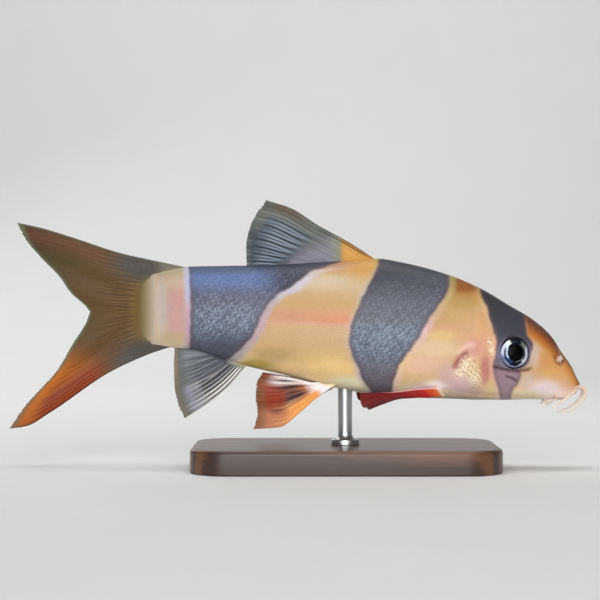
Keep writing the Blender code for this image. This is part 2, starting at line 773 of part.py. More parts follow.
def main():
    for old in list(bpy.data.objects):
        bpy.data.objects.remove(old)

    flesh = material("flesh", (0.78, 0.50, 0.25), 0.4)
    dark_fin = material("dark_fin", (0.16, 0.18, 0.20), 0.45)
    orange_fin = material("orange_fin", (0.62, 0.20, 0.07), 0.45)
    red_fin = material("red_fin", (0.62, 0.04, 0.03), 0.4)
    eye_material = material("eye", (0.35, 0.42, 0.50), 0.15)
    barbel_material = material("barbel", (0.80, 0.66, 0.56), 0.45)
    wood = material("stand_wood", (0.16, 0.08, 0.045), 0.5)
    steel = material("stand_steel", (0.55, 0.56, 0.57), 0.3, 1.0)

    body_nodes(flesh)
    for side, word in ((RIGHT, "right"), (LEFT, "left")):
        eye(f"eye_{word}", side, 0.0, eye_material)
        fin_object(f"pelvic_fin_{word}", pelvic_fin(side), ray_columns(1, 7), 6, orange_fin)
        fin_object(f"pectoral_fin_{word}", pectoral_fin(side), ray_columns(12, 0), 6, red_fin)
        for kind, places in BARBELS.items():
            barbel(f"barbel_{kind}_{word}", *places, side, barbel_material)

    fin_object("dorsal_fin", dorsal_fin(), ray_columns(3, 8), 7, dark_fin)
    fin_object("anal_fin", anal_fin(), ray_columns(3, 5), 6, dark_fin)
    fin_object("tail_fin_upper", tail_fin_upper(), ray_columns(3, 8), 8, orange_fin)
    fin_object("tail_fin_lower", tail_fin_lower(), ray_columns(3, 8), 8, orange_fin)

    rounded_base("stand_base", wood)
    stand_rod("stand_rod", steel)


main()
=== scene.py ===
"""The look of a life-size clown loach (Chromobotia macracanthus) on its display stand.

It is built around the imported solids, in their frame: metres, the head along +X, the back along +Z and
the fish's left side along +Y. Tables of shapes and markings are in millimetres. The fish is modelled
straight, and bent() then gives every piece the sideways sweep of the tail.
"""

import math

import bpy
import numpy as np
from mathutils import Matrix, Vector


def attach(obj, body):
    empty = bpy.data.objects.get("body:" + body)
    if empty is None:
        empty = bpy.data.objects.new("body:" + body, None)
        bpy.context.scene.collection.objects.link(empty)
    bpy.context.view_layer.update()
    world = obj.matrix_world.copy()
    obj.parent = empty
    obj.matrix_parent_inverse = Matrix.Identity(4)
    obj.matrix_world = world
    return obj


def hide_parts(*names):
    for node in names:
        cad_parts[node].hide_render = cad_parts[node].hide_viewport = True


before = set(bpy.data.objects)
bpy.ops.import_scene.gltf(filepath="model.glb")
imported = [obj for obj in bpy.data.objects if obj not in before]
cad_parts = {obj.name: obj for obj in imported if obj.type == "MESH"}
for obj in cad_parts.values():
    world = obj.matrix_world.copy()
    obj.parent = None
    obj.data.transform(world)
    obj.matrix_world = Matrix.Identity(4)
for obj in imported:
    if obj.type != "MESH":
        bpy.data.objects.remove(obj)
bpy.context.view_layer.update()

MM = 0.001
RIGHT = -1
LEFT = 1
SIDES = ((RIGHT, "right"), (LEFT, "left"))
SEED = 7

# Body, as in the solids
SNOUT_X = 59.3 * MM
STALK_END_X = -31.0 * MM
BODY_LENGTH = SNOUT_X - STALK_END_X
GILL_X = 37.9 * MM
GAP = 0.3 * MM
# Place from snout to tail, height of the back, height of the belly, half the width
BODY_STATIONS = (
    (59.3, 17.3, 17.3, 0.0),
    (58.6, 19.0, 16.4, 1.4),
    (57.4, 21.5, 15.6, 2.4),
    (55.4, 24.4, 14.7, 3.3),
    (53.1, 27.9, 14.4, 4.1),
    (48.8, 31.6, 14.5, 5.1),
    (44.6, 34.1, 14.4, 6.0),
    (38.3, 37.8, 14.4, 7.0),
    (32.0, 40.5, 14.6, 7.6),
    (21.5, 43.3, 14.9, 7.9),
    (16.9, 44.0, 15.3, 7.8),
    (6.8, 43.4, 17.2, 7.3),
    (-3.7, 42.8, 19.8, 6.3),
    (-10.0, 42.6, 21.2, 5.4),
    (-16.3, 42.5, 23.0, 4.4),
    (-22.6, 42.4, 24.9, 3.4),
    (-28.0, 41.7, 25.3, 2.3),
    (-31.0, 41.0, 25.6, 1.2),
)
# Place, height of the widest level as a share of the depth, squareness of the upper and lower half
SECTION_STATIONS = (
    (59.3, 0.50, 2.0, 2.0),
    (55.4, 0.42, 2.0, 2.4),
    (48.8, 0.44, 2.0, 2.7),
    (38.3, 0.42, 1.95, 2.7),
    (21.5, 0.42, 1.85, 2.5),
    (-3.7, 0.46, 1.9, 2.3),
    (-16.3, 0.48, 2.0, 2.2),
    (-31.0, 0.50, 2.0, 2.0),
)
GILL_BULGE = 5.9 * MM
GILL_BULGE_HEIGHT = 0.27
GILL_BULGE_SPREAD = 0.23
GILL_BULGE_REACH = 16.0 * MM
SWEEP_START_X = 15.0 * MM
SWEEP_AT_STALK_END = 3.0 * MM
TAIL_CUP = 5.0 * MM
TAIL_HALF_SPREAD = 21.0 * MM
TAIL_MIDDLE_Z = 32.8 * MM
TAIL_CUP_REACH = 15.0 * MM
TAIL_FORK_X = -44.2 * MM
TAIL_ROOT_PLACES = (0.0, 0.1, 0.2, 0.4, 0.7, 1.0)
EYE_X = 44.85 * MM
EYE_Z = 24.4 * MM
EYE_RADIUS = 3.8 * MM
EYE_HALF_DEPTH = 2.2 * MM
EYE_SINK = 1.4 * MM

# Skin: rings along the body, points round it, and the length and rings of the stalk's rounded end
SKIN_RINGS = 366
SKIN_SIDES = 252
STALK_CAP = 3.4 * MM
STALK_CAP_RINGS = 12
# Gaps between the skin's rings by place along the body, in millimetres
SKIN_SPACING = ((-31, 0.36), (34, 0.30), (36.5, 0.11), (38.5, 0.11), (40, 0.17), (59, 0.14))
# Scales: sides of one scale, the bend past which its rim is shaded sharp, its size on the bake map, the
# rows round the body, how deep the coat of scales is, their spacing along the body, the depth of body
# that has this spacing, and how far a scale may stray along its row and aside, in shares of its spacing
SCALE_SIDES = 7
SCALE_RIM_ANGLE = math.radians(50)
SCALE_PATCH = 0.0019
SCALE_ROWS = 160
COAT_DEPTH = 0.10 * MM
SCALE_PITCH = 0.52 * MM
SCALE_PITCH_LEAST = 0.34 * MM
SCALE_PITCH_DEPTH = 28.0 * MM
SCALE_STRAY = 0.30
SCALE_STRAY_ASIDE = 0.24


# Numbers and curves


def smooth(t):
    t = np.clip(t, 0.0, 1.0)
    return t * t * (3 - 2 * t)


def rises(value, start, length):
    """0 up to the start and 1 from a length past it."""
    return smooth((value - start) / length)


def falls(value, end, length):
    """1 up to a length before the end and 0 from the end on."""
    return smooth((end - value) / length)


def span(value, start, rise, end, fall):
    """1 between the start and the end, with a soft rise after the one and a soft fall before the other."""
    return rises(value, start, rise) * falls(value, end, fall)


def bump(d, width):
    return np.exp(-((d / width) ** 2))


def full_turn(count):
    return 2 * math.pi * np.arange(count) / count


def quarter_turn(steps, first=1):
    return [math.pi / 2 * i / steps for i in range(first, steps + 1)]


def unit(v):
    return v / np.maximum(np.linalg.norm(v, axis=-1, keepdims=True), 1e-12)


class Profile:
    """A smooth curve through a few (place, value) stations, which never overshoots them."""

    def __init__(self, stations):
        self.places, self.values = np.array(sorted(stations), float).T
        steps = np.diff(self.places)
        grades = np.diff(self.values) / steps
        before, after = grades[:-1], grades[1:]
        nearer, further = 2 * steps[1:] + steps[:-1], steps[1:] + 2 * steps[:-1]
        level = before * after <= 0
        shares = nearer / np.where(level, 1.0, before) + further / np.where(level, 1.0, after)
        inner = np.where(level, 0.0, (nearer + further) / shares)
        self.slopes = np.array([grades[0], *inner, grades[-1]])

    def __call__(self, place):
        place = np.clip(place, self.places[0], self.places[-1])
        i = np.clip(np.searchsorted(self.places, place, side="right") - 1, 0, len(self.places) - 2)
        step = self.places[i + 1] - self.places[i]
        t = (place - self.places[i]) / step
        start = self.values[i] * (1 + 2 * t) * (1 - t) ** 2 + self.slopes[i] * step * t * (1 - t) ** 2
        end = self.values[i + 1] * t * t * (3 - 2 * t) - self.slopes[i + 1] * step * t * t * (1 - t)
        return start + end


class Path:
    """A smooth curve through points, from 0 at the first to 1 at the last."""

    def __init__(self, points, places=None):
        points = np.array([tuple(p) for p in points], float)
        if places is None:
            lengths = np.linalg.norm(np.diff(points, axis=0), axis=1)
            places = np.concatenate([[0.0], np.cumsum(lengths)]) / lengths.sum()
        self.along = [Profile(list(zip(places, column))) for column in points.T]

    def __call__(self, t):
        return np.stack([axis(t) for axis in self.along], axis=-1)


# The body's surface


def share_of_body(x):
    return np.sqrt(np.maximum(SNOUT_X - x, 0.0) / BODY_LENGTH)


def along_body(stations):
    """A curve along the body for each column of a table of stations."""
    places, *columns = zip(*stations)
    shares = [float(share_of_body(x * MM)) for x in places]
    return [Profile(list(zip(shares, column))) for column in columns]


BACK, BELLY, HALF_WIDTH = along_body(BODY_STATIONS)
WIDEST, UPPER_SQUARENESS, LOWER_SQUARENESS = along_body(SECTION_STATIONS)


def back_z(x):
    return BACK(share_of_body(x)) * MM


def belly_z(x):
    return BELLY(share_of_body(x)) * MM


def height_share(points, x):
    """The height of points as a share of the body's depth at x."""
    return (points[..., 2] - belly_z(x)) / np.maximum(back_z(x) - belly_z(x), 1e-9)


def gill_edge_x(height):
    return GILL_X - GILL_BULGE * bump(height - GILL_BULGE_HEIGHT, GILL_BULGE_SPREAD)


def body_point(x, angle):
    """Points of the body's surface. Angle 0 is on the left side and a quarter turn is on the back."""
    x, angle = np.broadcast_arrays(np.asarray(x, float), np.asarray(angle, float))
    share = share_of_body(x)
    top, bottom = BACK(share) * MM, BELLY(share) * MM
    widest = bottom + WIDEST(share) * (top - bottom)
    across, up = np.cos(angle), np.sin(angle)
    squareness = np.where(up >= 0, UPPER_SQUARENESS(share), LOWER_SQUARENESS(share))
    reach = np.where(up >= 0, top - widest, widest - bottom)
    y = np.sign(across) * np.abs(across) ** (2 / squareness) * HALF_WIDTH(share) * MM
    z = widest + np.sign(up) * np.abs(up) ** (2 / squareness) * reach
    return np.stack([x, y, z], axis=-1)


def outward(x, angle):
    """Directions straight out of the body's surface."""
    step, turn = 0.2 * MM, 0.02
    along = body_point(x + step, angle) - body_point(x - step, angle)
    around = body_point(x, angle + turn) - body_point(x, angle - turn)
    return unit(np.cross(around, along))


# Steps that find a point on the surface, each of which halves the range of angles
HALVINGS = 40


def found_point(x, axis, value, angles, side):
    """The surface point at x on one side where y or z has a value, and the way out of it."""
    low, high = angles
    for _ in range(HALVINGS):
        angle = (low + high) / 2
        if body_point(x, angle)[axis] < value:
            low = angle
        else:
            high = angle
    flip = np.array([1.0, side, 1.0])
    return body_point(x, angle) * flip, outward(x, angle) * flip


def side_point(x, z, side):
    return found_point(x, 2, z, (-math.pi / 2, math.pi / 2), side)


def under_point(x, y, side):
    return found_point(x, 1, y, (-math.pi / 2, 0.0), side)


def bent(points):
    """Points of the straight fish moved by the sideways sweep of its tail."""
    points = np.array(points, float)
    behind = np.maximum(SWEEP_START_X - points[..., 0], 0.0)
    points[..., 1] += SWEEP_AT_STALK_END * (behind / (SWEEP_START_X - STALK_END_X)) ** 2
    return points


# Colours


def linear(rgb):
    """A colour given as 0 to 255, as the renderer's linear red, green and blue."""
    c = np.asarray(rgb, float) / 255
    return np.where(c <= 0.04045, c / 12.92, ((c + 0.055) / 1.055) ** 2.4)


def painted(colour, *coats):
    """A colour with coats laid over it in turn, each with the share that it covers.

    A coat is a colour of 0 to 255, or an array of linear colours.
    """
    for coat, share in coats:
        coat = linear(coat) if isinstance(coat, tuple) else coat
        colour = colour * (1 - share[..., None]) + coat * share[..., None]
    return colour


def blend_by(stops, at):
    """A colour that runs evenly from stop to stop. A stop starts with its place and its colour."""
    places = [s[0] for s in stops]
    colours = linear([s[1] for s in stops])
    return np.stack([np.interp(at, places, column) for column in colours.T], axis=-1)


# Meshes


def linked(name, data):
    thing = bpy.data.objects.new(name, data)
    bpy.context.scene.collection.objects.link(thing)
    return thing


def signed_volume(points, faces):
    first, *others = [points[column] for column in faces.T]
    return sum(np.einsum("ij,ij->", first, np.cross(b, c)) for b, c in zip(others, others[1:]))


def mesh_piece(name, points, faces, material, slot, paint=None, floats=None, uv=None):
    """A shown piece, from points and groups of faces that each have one number of corners.

    paint, floats and uv give each point its colour, its named numbers and its place on the bake map.
    """
    if sum(signed_volume(points, group) for group in faces) < 0:
        faces = [group[:, ::-1] for group in faces]
    mesh = bpy.data.meshes.new(name)
    mesh.from_pydata(points.tolist(), [], [row for group in faces for row in group.tolist()])
    mesh.shade_smooth()
    mesh.materials.append(material)
    if paint is not None:
        rgba = np.concatenate([paint, np.ones((len(paint), 1))], axis=1)
        layer = mesh.color_attributes.new("paint", "FLOAT_COLOR", "POINT")
        layer.data.foreach_set("color", rgba.astype(np.float32).ravel())
    for key, values in (floats or {}).items():
        layer = mesh.attributes.new(key, "FLOAT", "POINT")
        layer.data.foreach_set("value", values.astype(np.float32))
    if uv is not None:
        corner = np.zeros(len(mesh.loops), np.int32)
        mesh.loops.foreach_get("vertex_index", corner)
        layer = mesh.uv_layers.new(name="OFBake")
        layer.data.foreach_set("uv", uv.astype(np.float32)[corner].ravel())
    piece = linked(name, mesh)
    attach(piece, "root")
    return piece


def ring_piece(name, rings, ends, material, slot, **looks):
    """A shown piece of rings of points, closed by a fan of faces to a point at either end."""
    row_count, count = rings.shape[:2]
    row, i = np.meshgrid(np.arange(row_count - 1), np.arange(count), indexing="ij")
    a = 2 + row * count + i
    b = 2 + row * count + (i + 1) % count
    quads = np.stack([a, b, b + count, a + count], axis=-1).reshape(-1, 4)
    i = 2 + np.arange(count)
    after = np.roll(i, -1)
    last = (row_count - 1) * count
    fans = [[0 * i, after, i], [0 * i + 1, last + i, last + after]]
    faces = [quads, np.concatenate([np.stack(fan, axis=-1) for fan in fans])]
    return mesh_piece(name, np.concatenate([ends, rings.reshape(-1, 3)]), faces, material, slot, **looks)


def ring_map(row_count, count, low=0.02, high=0.98):
    """A place on the bake map for each point of such a piece."""
    grid = np.meshgrid(np.linspace(0.02, 0.98, row_count), np.linspace(low, high, count), indexing="ij")
    return np.concatenate([[[0.01, 0.5], [0.99, 0.5]], np.stack(grid, axis=-1).reshape(-1, 2)])


# The markings

# The side view that the markings are drawn in: where its viewer stands and how far away, in millimetres
VIEW_X, VIEW_Z, VIEW_DISTANCE = 0.525, 35.3, 350.0

# Bands, as (x, z) along their edges
HEAD_BAND_FRONT = (
    (48.0, 33.2), (48.0, 30.1), (48.4, 28.2), (49.4, 26.2), (49.0, 23.6), (48.0, 21.3),
    (46.6, 20.6), (47.0, 19.4), (46.6, 18.0), (45.4, 16.6), (44.8, 14.7),
)
HEAD_BAND_REAR = (
    (38.0, 38.3), (38.9, 35.4), (40.0, 33.0), (40.4, 31.0), (41.2, 28.9), (41.7, 26.6), (41.6, 24.6),
    (41.2, 22.7), (41.0, 20.6), (41.6, 18.4), (42.1, 16.4), (42.6, 14.7),
)
MIDDLE_BAND_FRONT = (
    (32.0, 40.3), (31.8, 37.8), (30.8, 35.7), (29.3, 33.6), (27.8, 31.5), (26.6, 29.4), (25.5, 27.3),
    (24.3, 25.6), (22.8, 23.5), (21.5, 21.7), (20.7, 19.6), (20.1, 17.5), (19.8, 16.0),
)
MIDDLE_BAND_REAR = (
    (17.1, 44.1), (16.5, 41.6), (15.4, 39.5), (14.4, 37.4), (13.3, 35.3), (12.3, 32.8), (11.4, 30.7),
    (11.0, 28.6), (10.8, 26.5), (11.2, 24.4), (11.9, 22.7), (12.7, 21.0), (13.5, 18.9), (14.8, 16.8),
    (15.6, 15.8),
)
REAR_BAND_FRONT = (
    (8.9, 43.3), (5.8, 42.2), (3.7, 41.6), (1.6, 40.3), (-0.1, 38.9), (-2.0, 37.6), (-4.1, 36.4),
    (-5.8, 34.7), (-7.0, 33.0), (-7.9, 31.1), (-8.5, 29.6), (-9.3, 28.0), (-10.6, 26.3), (-12.1, 24.8),
    (-13.5, 23.5), (-15.0, 22.5),
)
REAR_BAND_REAR = ((-22.9, 43.0), (-22.5, 34.0), (-22.7, 25.0))

# Colours of the ground between the bands, by height as a share of the depth
GROUND_COLOURS = (
    (0.0, (228, 212, 190)), (0.06, (236, 210, 165)), (0.16, (226, 188, 130)), (0.30, (216, 176, 128)),
    (0.45, (214, 172, 130)), (0.56, (215, 158, 122)), (0.66, (208, 166, 116)), (0.80, (214, 184, 146)),
    (0.90, (206, 162, 108)), (1.0, (176, 124, 72)),
)
# Colours of each band by height in millimetres
HEAD_BAND_COLOURS = (
    (14.0, (162, 140, 142)), (16.5, (154, 130, 140)), (20.2, (152, 126, 138)), (21.6, (122, 108, 122)),
    (24.0, (106, 98, 114)), (27.0, (66, 68, 80)), (33.0, (62, 62, 68)), (37.0, (52, 52, 52)),
)
MIDDLE_BAND_COLOURS = (
    (15.0, (96, 84, 90)), (17.5, (108, 98, 106)), (21.0, (108, 104, 116)), (24.0, (92, 100, 116)),
    (28.5, (94, 106, 122)), (31.0, (98, 98, 110)), (35.0, (96, 96, 108)), (38.0, (82, 82, 92)),
    (41.0, (70, 71, 78)), (43.5, (62, 63, 70)),
)
# the blue at about 37 to 41.6 mm, near the top of the rear band, is a painted sheen
REAR_BAND_COLOURS = (
    (22.5, (74, 76, 88)), (26.0, (80, 82, 98)), (29.0, (96, 104, 122)), (33.0, (106, 112, 130)),
    (35.5, (96, 96, 112)), (37.2, (98, 104, 134)), (38.6, (108, 124, 170)), (40.4, (104, 122, 172)),
    (41.6, (76, 90, 120)), (43.0, (64, 74, 86)),
)
# How silvery the scales of a band are, by height in millimetres, which also sets how much glint is painted on
# them
MIDDLE_SILVER = (
    (16.0, 0.1), (20.5, 0.25), (22.5, 0.65), (24.0, 0.8), (29.0, 0.8), (31.0, 0.45), (34.0, 0.3), (38.0, 0.2),
    (41.0, 0.05),
)
REAR_SILVER = (
    (23.0, 0.05), (26.0, 0.15), (28.0, 0.5), (30.0, 1.0), (33.0, 1.0), (35.0, 0.6), (37.5, 0.35), (40.5, 0.2),
    (42.0, 0.05),
)
# Pale margins outside the bands: height, colour, strength
CREAM, LILAC, PINK, OLIVE = (232, 208, 172), (206, 200, 212), (224, 184, 182), (176, 160, 104)
HEAD_REAR_MARGIN = (
    (14.0, PINK, 0.5), (20.0, (214, 160, 158), 0.7), (24.0, (232, 176, 160), 0.5),
    (30.0, (214, 176, 142), 0.6), (33.0, CREAM, 0.3), (37.0, OLIVE, 0.5),
)
HEAD_FRONT_MARGIN = (
    (14.0, (206, 196, 160), 0.7), (20.0, (214, 188, 150), 0.3), (24.0, (214, 186, 168), 0.3),
    (27.5, (206, 170, 140), 0.35), (29.0, (134, 80, 58), 0.3),
)
MIDDLE_FRONT_MARGIN = (
    (15.0, (224, 184, 176), 0.9), (18.5, (238, 204, 190), 0.7), (22.0, (240, 206, 156), 0.7),
    (26.0, (228, 192, 176), 0.7), (28.5, (228, 186, 190), 0.95), (31.5, (214, 178, 162), 0.8),
    (34.5, (206, 180, 134), 0.6), (38.5, OLIVE, 0.75),
)
MIDDLE_REAR_MARGIN = (
    (15.5, (216, 206, 196), 0.9), (19.5, (216, 198, 196), 0.9), (24.0, (204, 176, 156), 0.7),
    (29.0, (206, 178, 176), 0.6), (33.0, (206, 184, 152), 0.5), (36.5, (202, 192, 192), 0.85),
    (40.0, (194, 176, 150), 0.7), (43.0, (190, 170, 96), 0.6),
)
REAR_FRONT_MARGIN = (
    (22.0, (170, 164, 174), 0.9), (25.5, (184, 170, 172), 0.9), (28.0, (200, 170, 180), 0.9),
    (31.0, (204, 170, 186), 0.95), (34.5, (190, 176, 174), 0.9), (37.5, LILAC, 1.0),
    (40.0, (216, 206, 210), 1.0), (41.5, (214, 196, 186), 0.7), (42.5, (176, 132, 120), 0.4),
)
REAR_REAR_MARGIN = (
    (24.0, (176, 160, 160), 0.8), (29.0, (206, 168, 186), 1.0), (33.0, (212, 176, 190), 1.0),
    (37.0, (200, 196, 222), 1.0), (42.0, (196, 196, 214), 0.9),
)

# How many waves make up the pattern of bright flecks painted as glints on the bands, and the clumps they
# gather in
FLECK_WAVES, CLUMP_WAVES = 14, 6

# Soft patches of colour on the ground: x, z, reach along x and z, colour, strength. A few are painted light
# and shade, marked below.
PATCHES = (
    (13.0, 43.6, 5.0, 2.8, (212, 156, 80), 0.95),
    (8.5, 42.0, 2.0, 1.0, (206, 146, 106), 0.6),
    (5.0, 39.4, 6.0, 1.3, (220, 200, 172), 0.75),
    (4.0, 34.6, 8.0, 1.7, (207, 165, 114), 0.7),
    (4.0, 31.7, 9.0, 1.1, (218, 150, 110), 0.65),
    (4.0, 30.5, 10.0, 0.35, (230, 164, 148), 0.5),
    (8.0, 30.9, 4.0, 0.5, (226, 140, 100), 0.6),
    (3.0, 27.6, 8.0, 2.2, (214, 174, 130), 0.6),
    (6.5, 20.4, 5.5, 2.4, (252, 212, 144), 0.95),
    (-3.5, 20.9, 4.0, 1.4, (246, 206, 146), 0.95),
    (-8.6, 21.8, 3.4, 1.1, (198, 170, 88), 1.0),
    (-5.0, 24.0, 4.0, 1.5, (196, 160, 112), 0.8),
    # painted glint along the belly's lower edge
    (10.5, 17.8, 3.6, 1.3, (255, 246, 206), 1.0),
    (4.0, 20.2, 3.0, 0.8, (240, 206, 150), 0.7),
    (34.6, 35.2, 4.4, 2.4, (190, 148, 82), 0.8),
    # painted shade on the top of the back behind the head
    (35.0, 38.4, 3.6, 1.7, (154, 90, 38), 0.95),
    (30.6, 31.6, 5.0, 1.8, (208, 165, 106), 0.7),
    (38.2, 31.4, 2.0, 1.8, (200, 152, 104), 0.8),
    (30.4, 27.8, 3.2, 1.3, (236, 202, 128), 0.65),
    (29.0, 25.0, 4.5, 1.6, (238, 206, 164), 0.8),
    (26.0, 21.6, 4.5, 2.0, (244, 198, 168), 0.85),
    # painted highlights along the body just above the pectoral fin
    (29.6, 17.4, 2.9, 0.9, (255, 242, 236), 1.0),
    (25.5, 17.0, 2.6, 0.4, (250, 214, 212), 0.8),
    (36.5, 29.0, 3.0, 3.0, (224, 176, 132), 0.6),
    (37.0, 24.5, 2.2, 1.8, (228, 178, 146), 0.7),
    (37.0, 25.2, 1.6, 1.8, (214, 148, 134), 0.8),
    (39.4, 20.2, 1.0, 3.4, (196, 124, 116), 0.95),
    (34.5, 17.5, 2.6, 2.0, (208, 176, 180), 0.95),
    (40.4, 16.2, 1.6, 1.6, (214, 190, 142), 0.85),
    (32.0, 19.5, 2.4, 2.2, (218, 178, 176), 0.8),
    (51.5, 26.6, 2.2, 1.5, (200, 128, 48), 0.85),
    (49.9, 24.3, 1.3, 2.2, (206, 178, 158), 0.85),
    (52.3, 22.5, 2.4, 2.4, (206, 150, 88), 0.9),
    (50.6, 19.9, 2.6, 1.3, (208, 162, 106), 0.8),
    (54.3, 19.6, 2.0, 1.5, (218, 164, 94), 0.85),
    (56.2, 17.6, 1.2, 1.0, (214, 158, 100), 0.8),
    (37.3, 16.3, 1.6, 1.2, (190, 160, 148), 0.8),
    (48.2, 18.3, 1.6, 1.7, (204, 182, 172), 0.7),
    (49.6, 23.6, 1.0, 1.9, (206, 186, 168), 0.9),
    (52.2, 16.6, 3.2, 1.7, (230, 214, 220), 0.85),
    (48.0, 15.2, 3.0, 1.0, (216, 200, 166), 0.9),
    (57.0, 15.3, 1.6, 0.8, (226, 198, 186), 0.9),
    (-25.6, 32.5, 2.6, 5.5, (206, 168, 168), 0.85),
    (-25.0, 36.0, 1.5, 2.4, (214, 156, 148), 0.55),
    (-25.4, 30.8, 1.5, 2.4, (216, 160, 156), 0.55),
    (-28.8, 34.0, 1.4, 6.5, (206, 192, 184), 0.85),
    (-25.0, 39.4, 2.4, 1.6, (212, 186, 168), 0.7),
    (-26.0, 27.0, 2.6, 1.4, (196, 174, 132), 0.7),
    (-26.5, 41.9, 5.5, 1.5, (184, 168, 138), 1.0),
    (-32.0, 41.0, 2.6, 2.6, (150, 138, 118), 0.5),
    (-31.6, 25.8, 2.6, 2.0, (150, 136, 112), 0.5),
)


# Colours of the stalk's end and of the tail fin's middle root, by place along the body
STALK_END_COLOURS = (
    (-34.5, (112, 86, 50)), (-33.2, (122, 98, 58)), (-31.9, (146, 133, 96)), (-31.0, (172, 156, 128)),
    (-30.0, (194, 180, 162)),
)


def drawn_places(points):
    """Where points of the straight body lie in the side view, which is life size in the fish's middle plane.

    The tables of markings give places in such a view, in which what stands out sideways looks larger.
    """
    x, y, z = np.moveaxis(points / MM, -1, 0)
    behind = np.maximum(SWEEP_START_X / MM - x, 0) * MM / (SWEEP_START_X - STALK_END_X)
    away = VIEW_DISTANCE - np.abs(y) + SWEEP_AT_STALK_END / MM * behind**2
    larger = VIEW_DISTANCE / away
    return VIEW_X + (x - VIEW_X) * larger, VIEW_Z + (z - VIEW_Z) * larger


def patch(x, z, middle_x, middle_z, reach_x, reach_z):
    """1 in the middle of a soft oval patch, and less away from it."""
    return np.exp(-(((x - middle_x) / reach_x) ** 2 + ((z - middle_z) / reach_z) ** 2))


class Band:
    """A dark band: how far a point lies inside each of its edges, and its colours by height.

    A margin is a table of colours by height, and its width in millimetres.
    """

    def __init__(self, front, rear, colours, silver, front_margin, rear_margin):
        self.edges = (
            (Profile([(z, x) for x, z in front]), 1, front_margin),
            (Profile([(z, x) for x, z in rear]), -1, rear_margin),
        )
        self.colours = colours
        self.silver = silver

    def ways_in(self, x, z):
        step = 0.3
        ways = []
        for edge, sign, _ in self.edges:
            slope = (edge(z + step) - edge(z - step)) / (2 * step)
            ways.append(sign * (edge(z) - x) / np.sqrt(1 + slope * slope))
        return ways

    def silver_at(self, z):
        return np.interp(z, *zip(*self.silver))


BANDS = (
    Band(HEAD_BAND_FRONT, HEAD_BAND_REAR, HEAD_BAND_COLOURS, ((14.0, 0.0), (40.0, 0.03)),
         (HEAD_FRONT_MARGIN, 1.2), (HEAD_REAR_MARGIN, 1.2)),
    Band(MIDDLE_BAND_FRONT, MIDDLE_BAND_REAR, MIDDLE_BAND_COLOURS, MIDDLE_SILVER,
         (MIDDLE_FRONT_MARGIN, 1.8), (MIDDLE_REAR_MARGIN, 1.15)),
    Band(REAR_BAND_FRONT, REAR_BAND_REAR, REAR_BAND_COLOURS, REAR_SILVER,
         (REAR_FRONT_MARGIN, 1.9), (REAR_REAR_MARGIN, 1.6)),
)


def flecks(x, z):
    """An uneven pattern of slanting flecks, from 0 to 1, at places in the side view."""
    rng = np.random.default_rng(SEED)
    total = np.zeros(np.shape(x))
    for _ in range(FLECK_WAVES):
        across, along = rng.uniform(4.0, 13.0), rng.normal(0.0, 5.5)
        way = across * (x * 0.85 - z * 0.53) + along * (x * 0.53 + z * 0.85)
        total += np.sin(way + rng.uniform(0, 2 * math.pi))
    return smooth(0.46 + 0.36 * total / math.sqrt(FLECK_WAVES))


def glitter(x, z):
    """Flecks that gather in loose clumps, as on the silvery parts of the bands, where they are painted on as
    glints.
    """
    rng = np.random.default_rng(SEED + 1)
    total = np.zeros(np.shape(x))
    for _ in range(CLUMP_WAVES):
        along_x, along_z = rng.normal(0.0, 1.7, 2)
        total += np.sin(along_x * x + along_z * z + rng.uniform(0, 2 * math.pi))
    clump = smooth(0.5 + 0.45 * total / math.sqrt(CLUMP_WAVES))
    return flecks(x, z) * (0.42 + 0.58 * clump)


def markings(points):
    """The fish's colour at points of its straight body, and how silvery the scales are there."""
    x, z = drawn_places(points)
    top, bottom = back_z(points[:, 0]) / MM, belly_z(points[:, 0]) / MM
    height = np.clip((z - bottom) / np.maximum(top - bottom, 1e-6), 0, 1)
    colour = blend_by(GROUND_COLOURS, height)
    for *place, rgb, strength in PATCHES:
        colour = painted(colour, (rgb, np.minimum(patch(x, z, *place) * 1.5, 1) * strength))
    colour = painted(colour, (blend_by(STALK_END_COLOURS, x), falls(x, -29.2, 1.2)))
    silver = np.zeros(len(x))
    blue_black = rises(x, -10, 8) * rises(z, 36, 2) * falls(x, 12, 2)
    wobble = 0.07 * np.sin(z * 1.9 + x * 0.7) + 0.03 * np.sin(z * 5.1 + 1.0)
    for band in BANDS:
        ways = [way + wobble for way in band.ways_in(x, z)]
        depth = np.minimum(*ways)
        for way, other, (_, _, (margin, width)) in zip(ways, ways[::-1], band.edges):
            heights, _, strengths = zip(*margin)
            outside = np.where(way > 0, 1.0, rises(way, -width - 0.15, 1.3))
            share = outside * np.interp(z, heights, strengths) * (way < 0.3) * (other > -0.2)
            colour = painted(colour, (blend_by(margin, z), share))
        dark = painted(
            blend_by(band.colours, z),
            ((70, 70, 86), blue_black),
            ((104, 76, 88), 0.4 * bump(depth - 0.25, 0.5)),
        )
        colour = painted(colour, (dark, rises(depth, -0.375, 0.75)))
        silver = np.maximum(silver, band.silver_at(z) * rises(depth, 0.3, 1.2))
    return colour, silver


# Relief of the head


def distance_to(x, z, points):
    """Distance from points of a plane to a line, and how far along it the nearest place is, from 0 to 1."""
    points = np.array(points, float)
    lengths = np.linalg.norm(np.diff(points, axis=0), axis=1)
    starts = np.concatenate([[0.0], np.cumsum(lengths)])
    best = np.full(np.shape(x), 1e9)
    along = np.zeros(np.shape(x))
    for a, b, length, start in zip(points, points[1:], lengths, starts):
        d = b - a
        t = np.clip(((x - a[0]) * d[0] + (z - a[1]) * d[1]) / (d @ d), 0, 1)
        gap = np.hypot(x - a[0] - t * d[0], z - a[1] - t * d[1])
        along = np.where(gap < best, (start + t * length) / starts[-1], along)
        best = np.minimum(best, gap)
    return best, along


def tapered(along, ends):
    """1 along the middle of a line, which fades over a share of its length at either end."""
    return span(along, 0, ends, 1, ends)


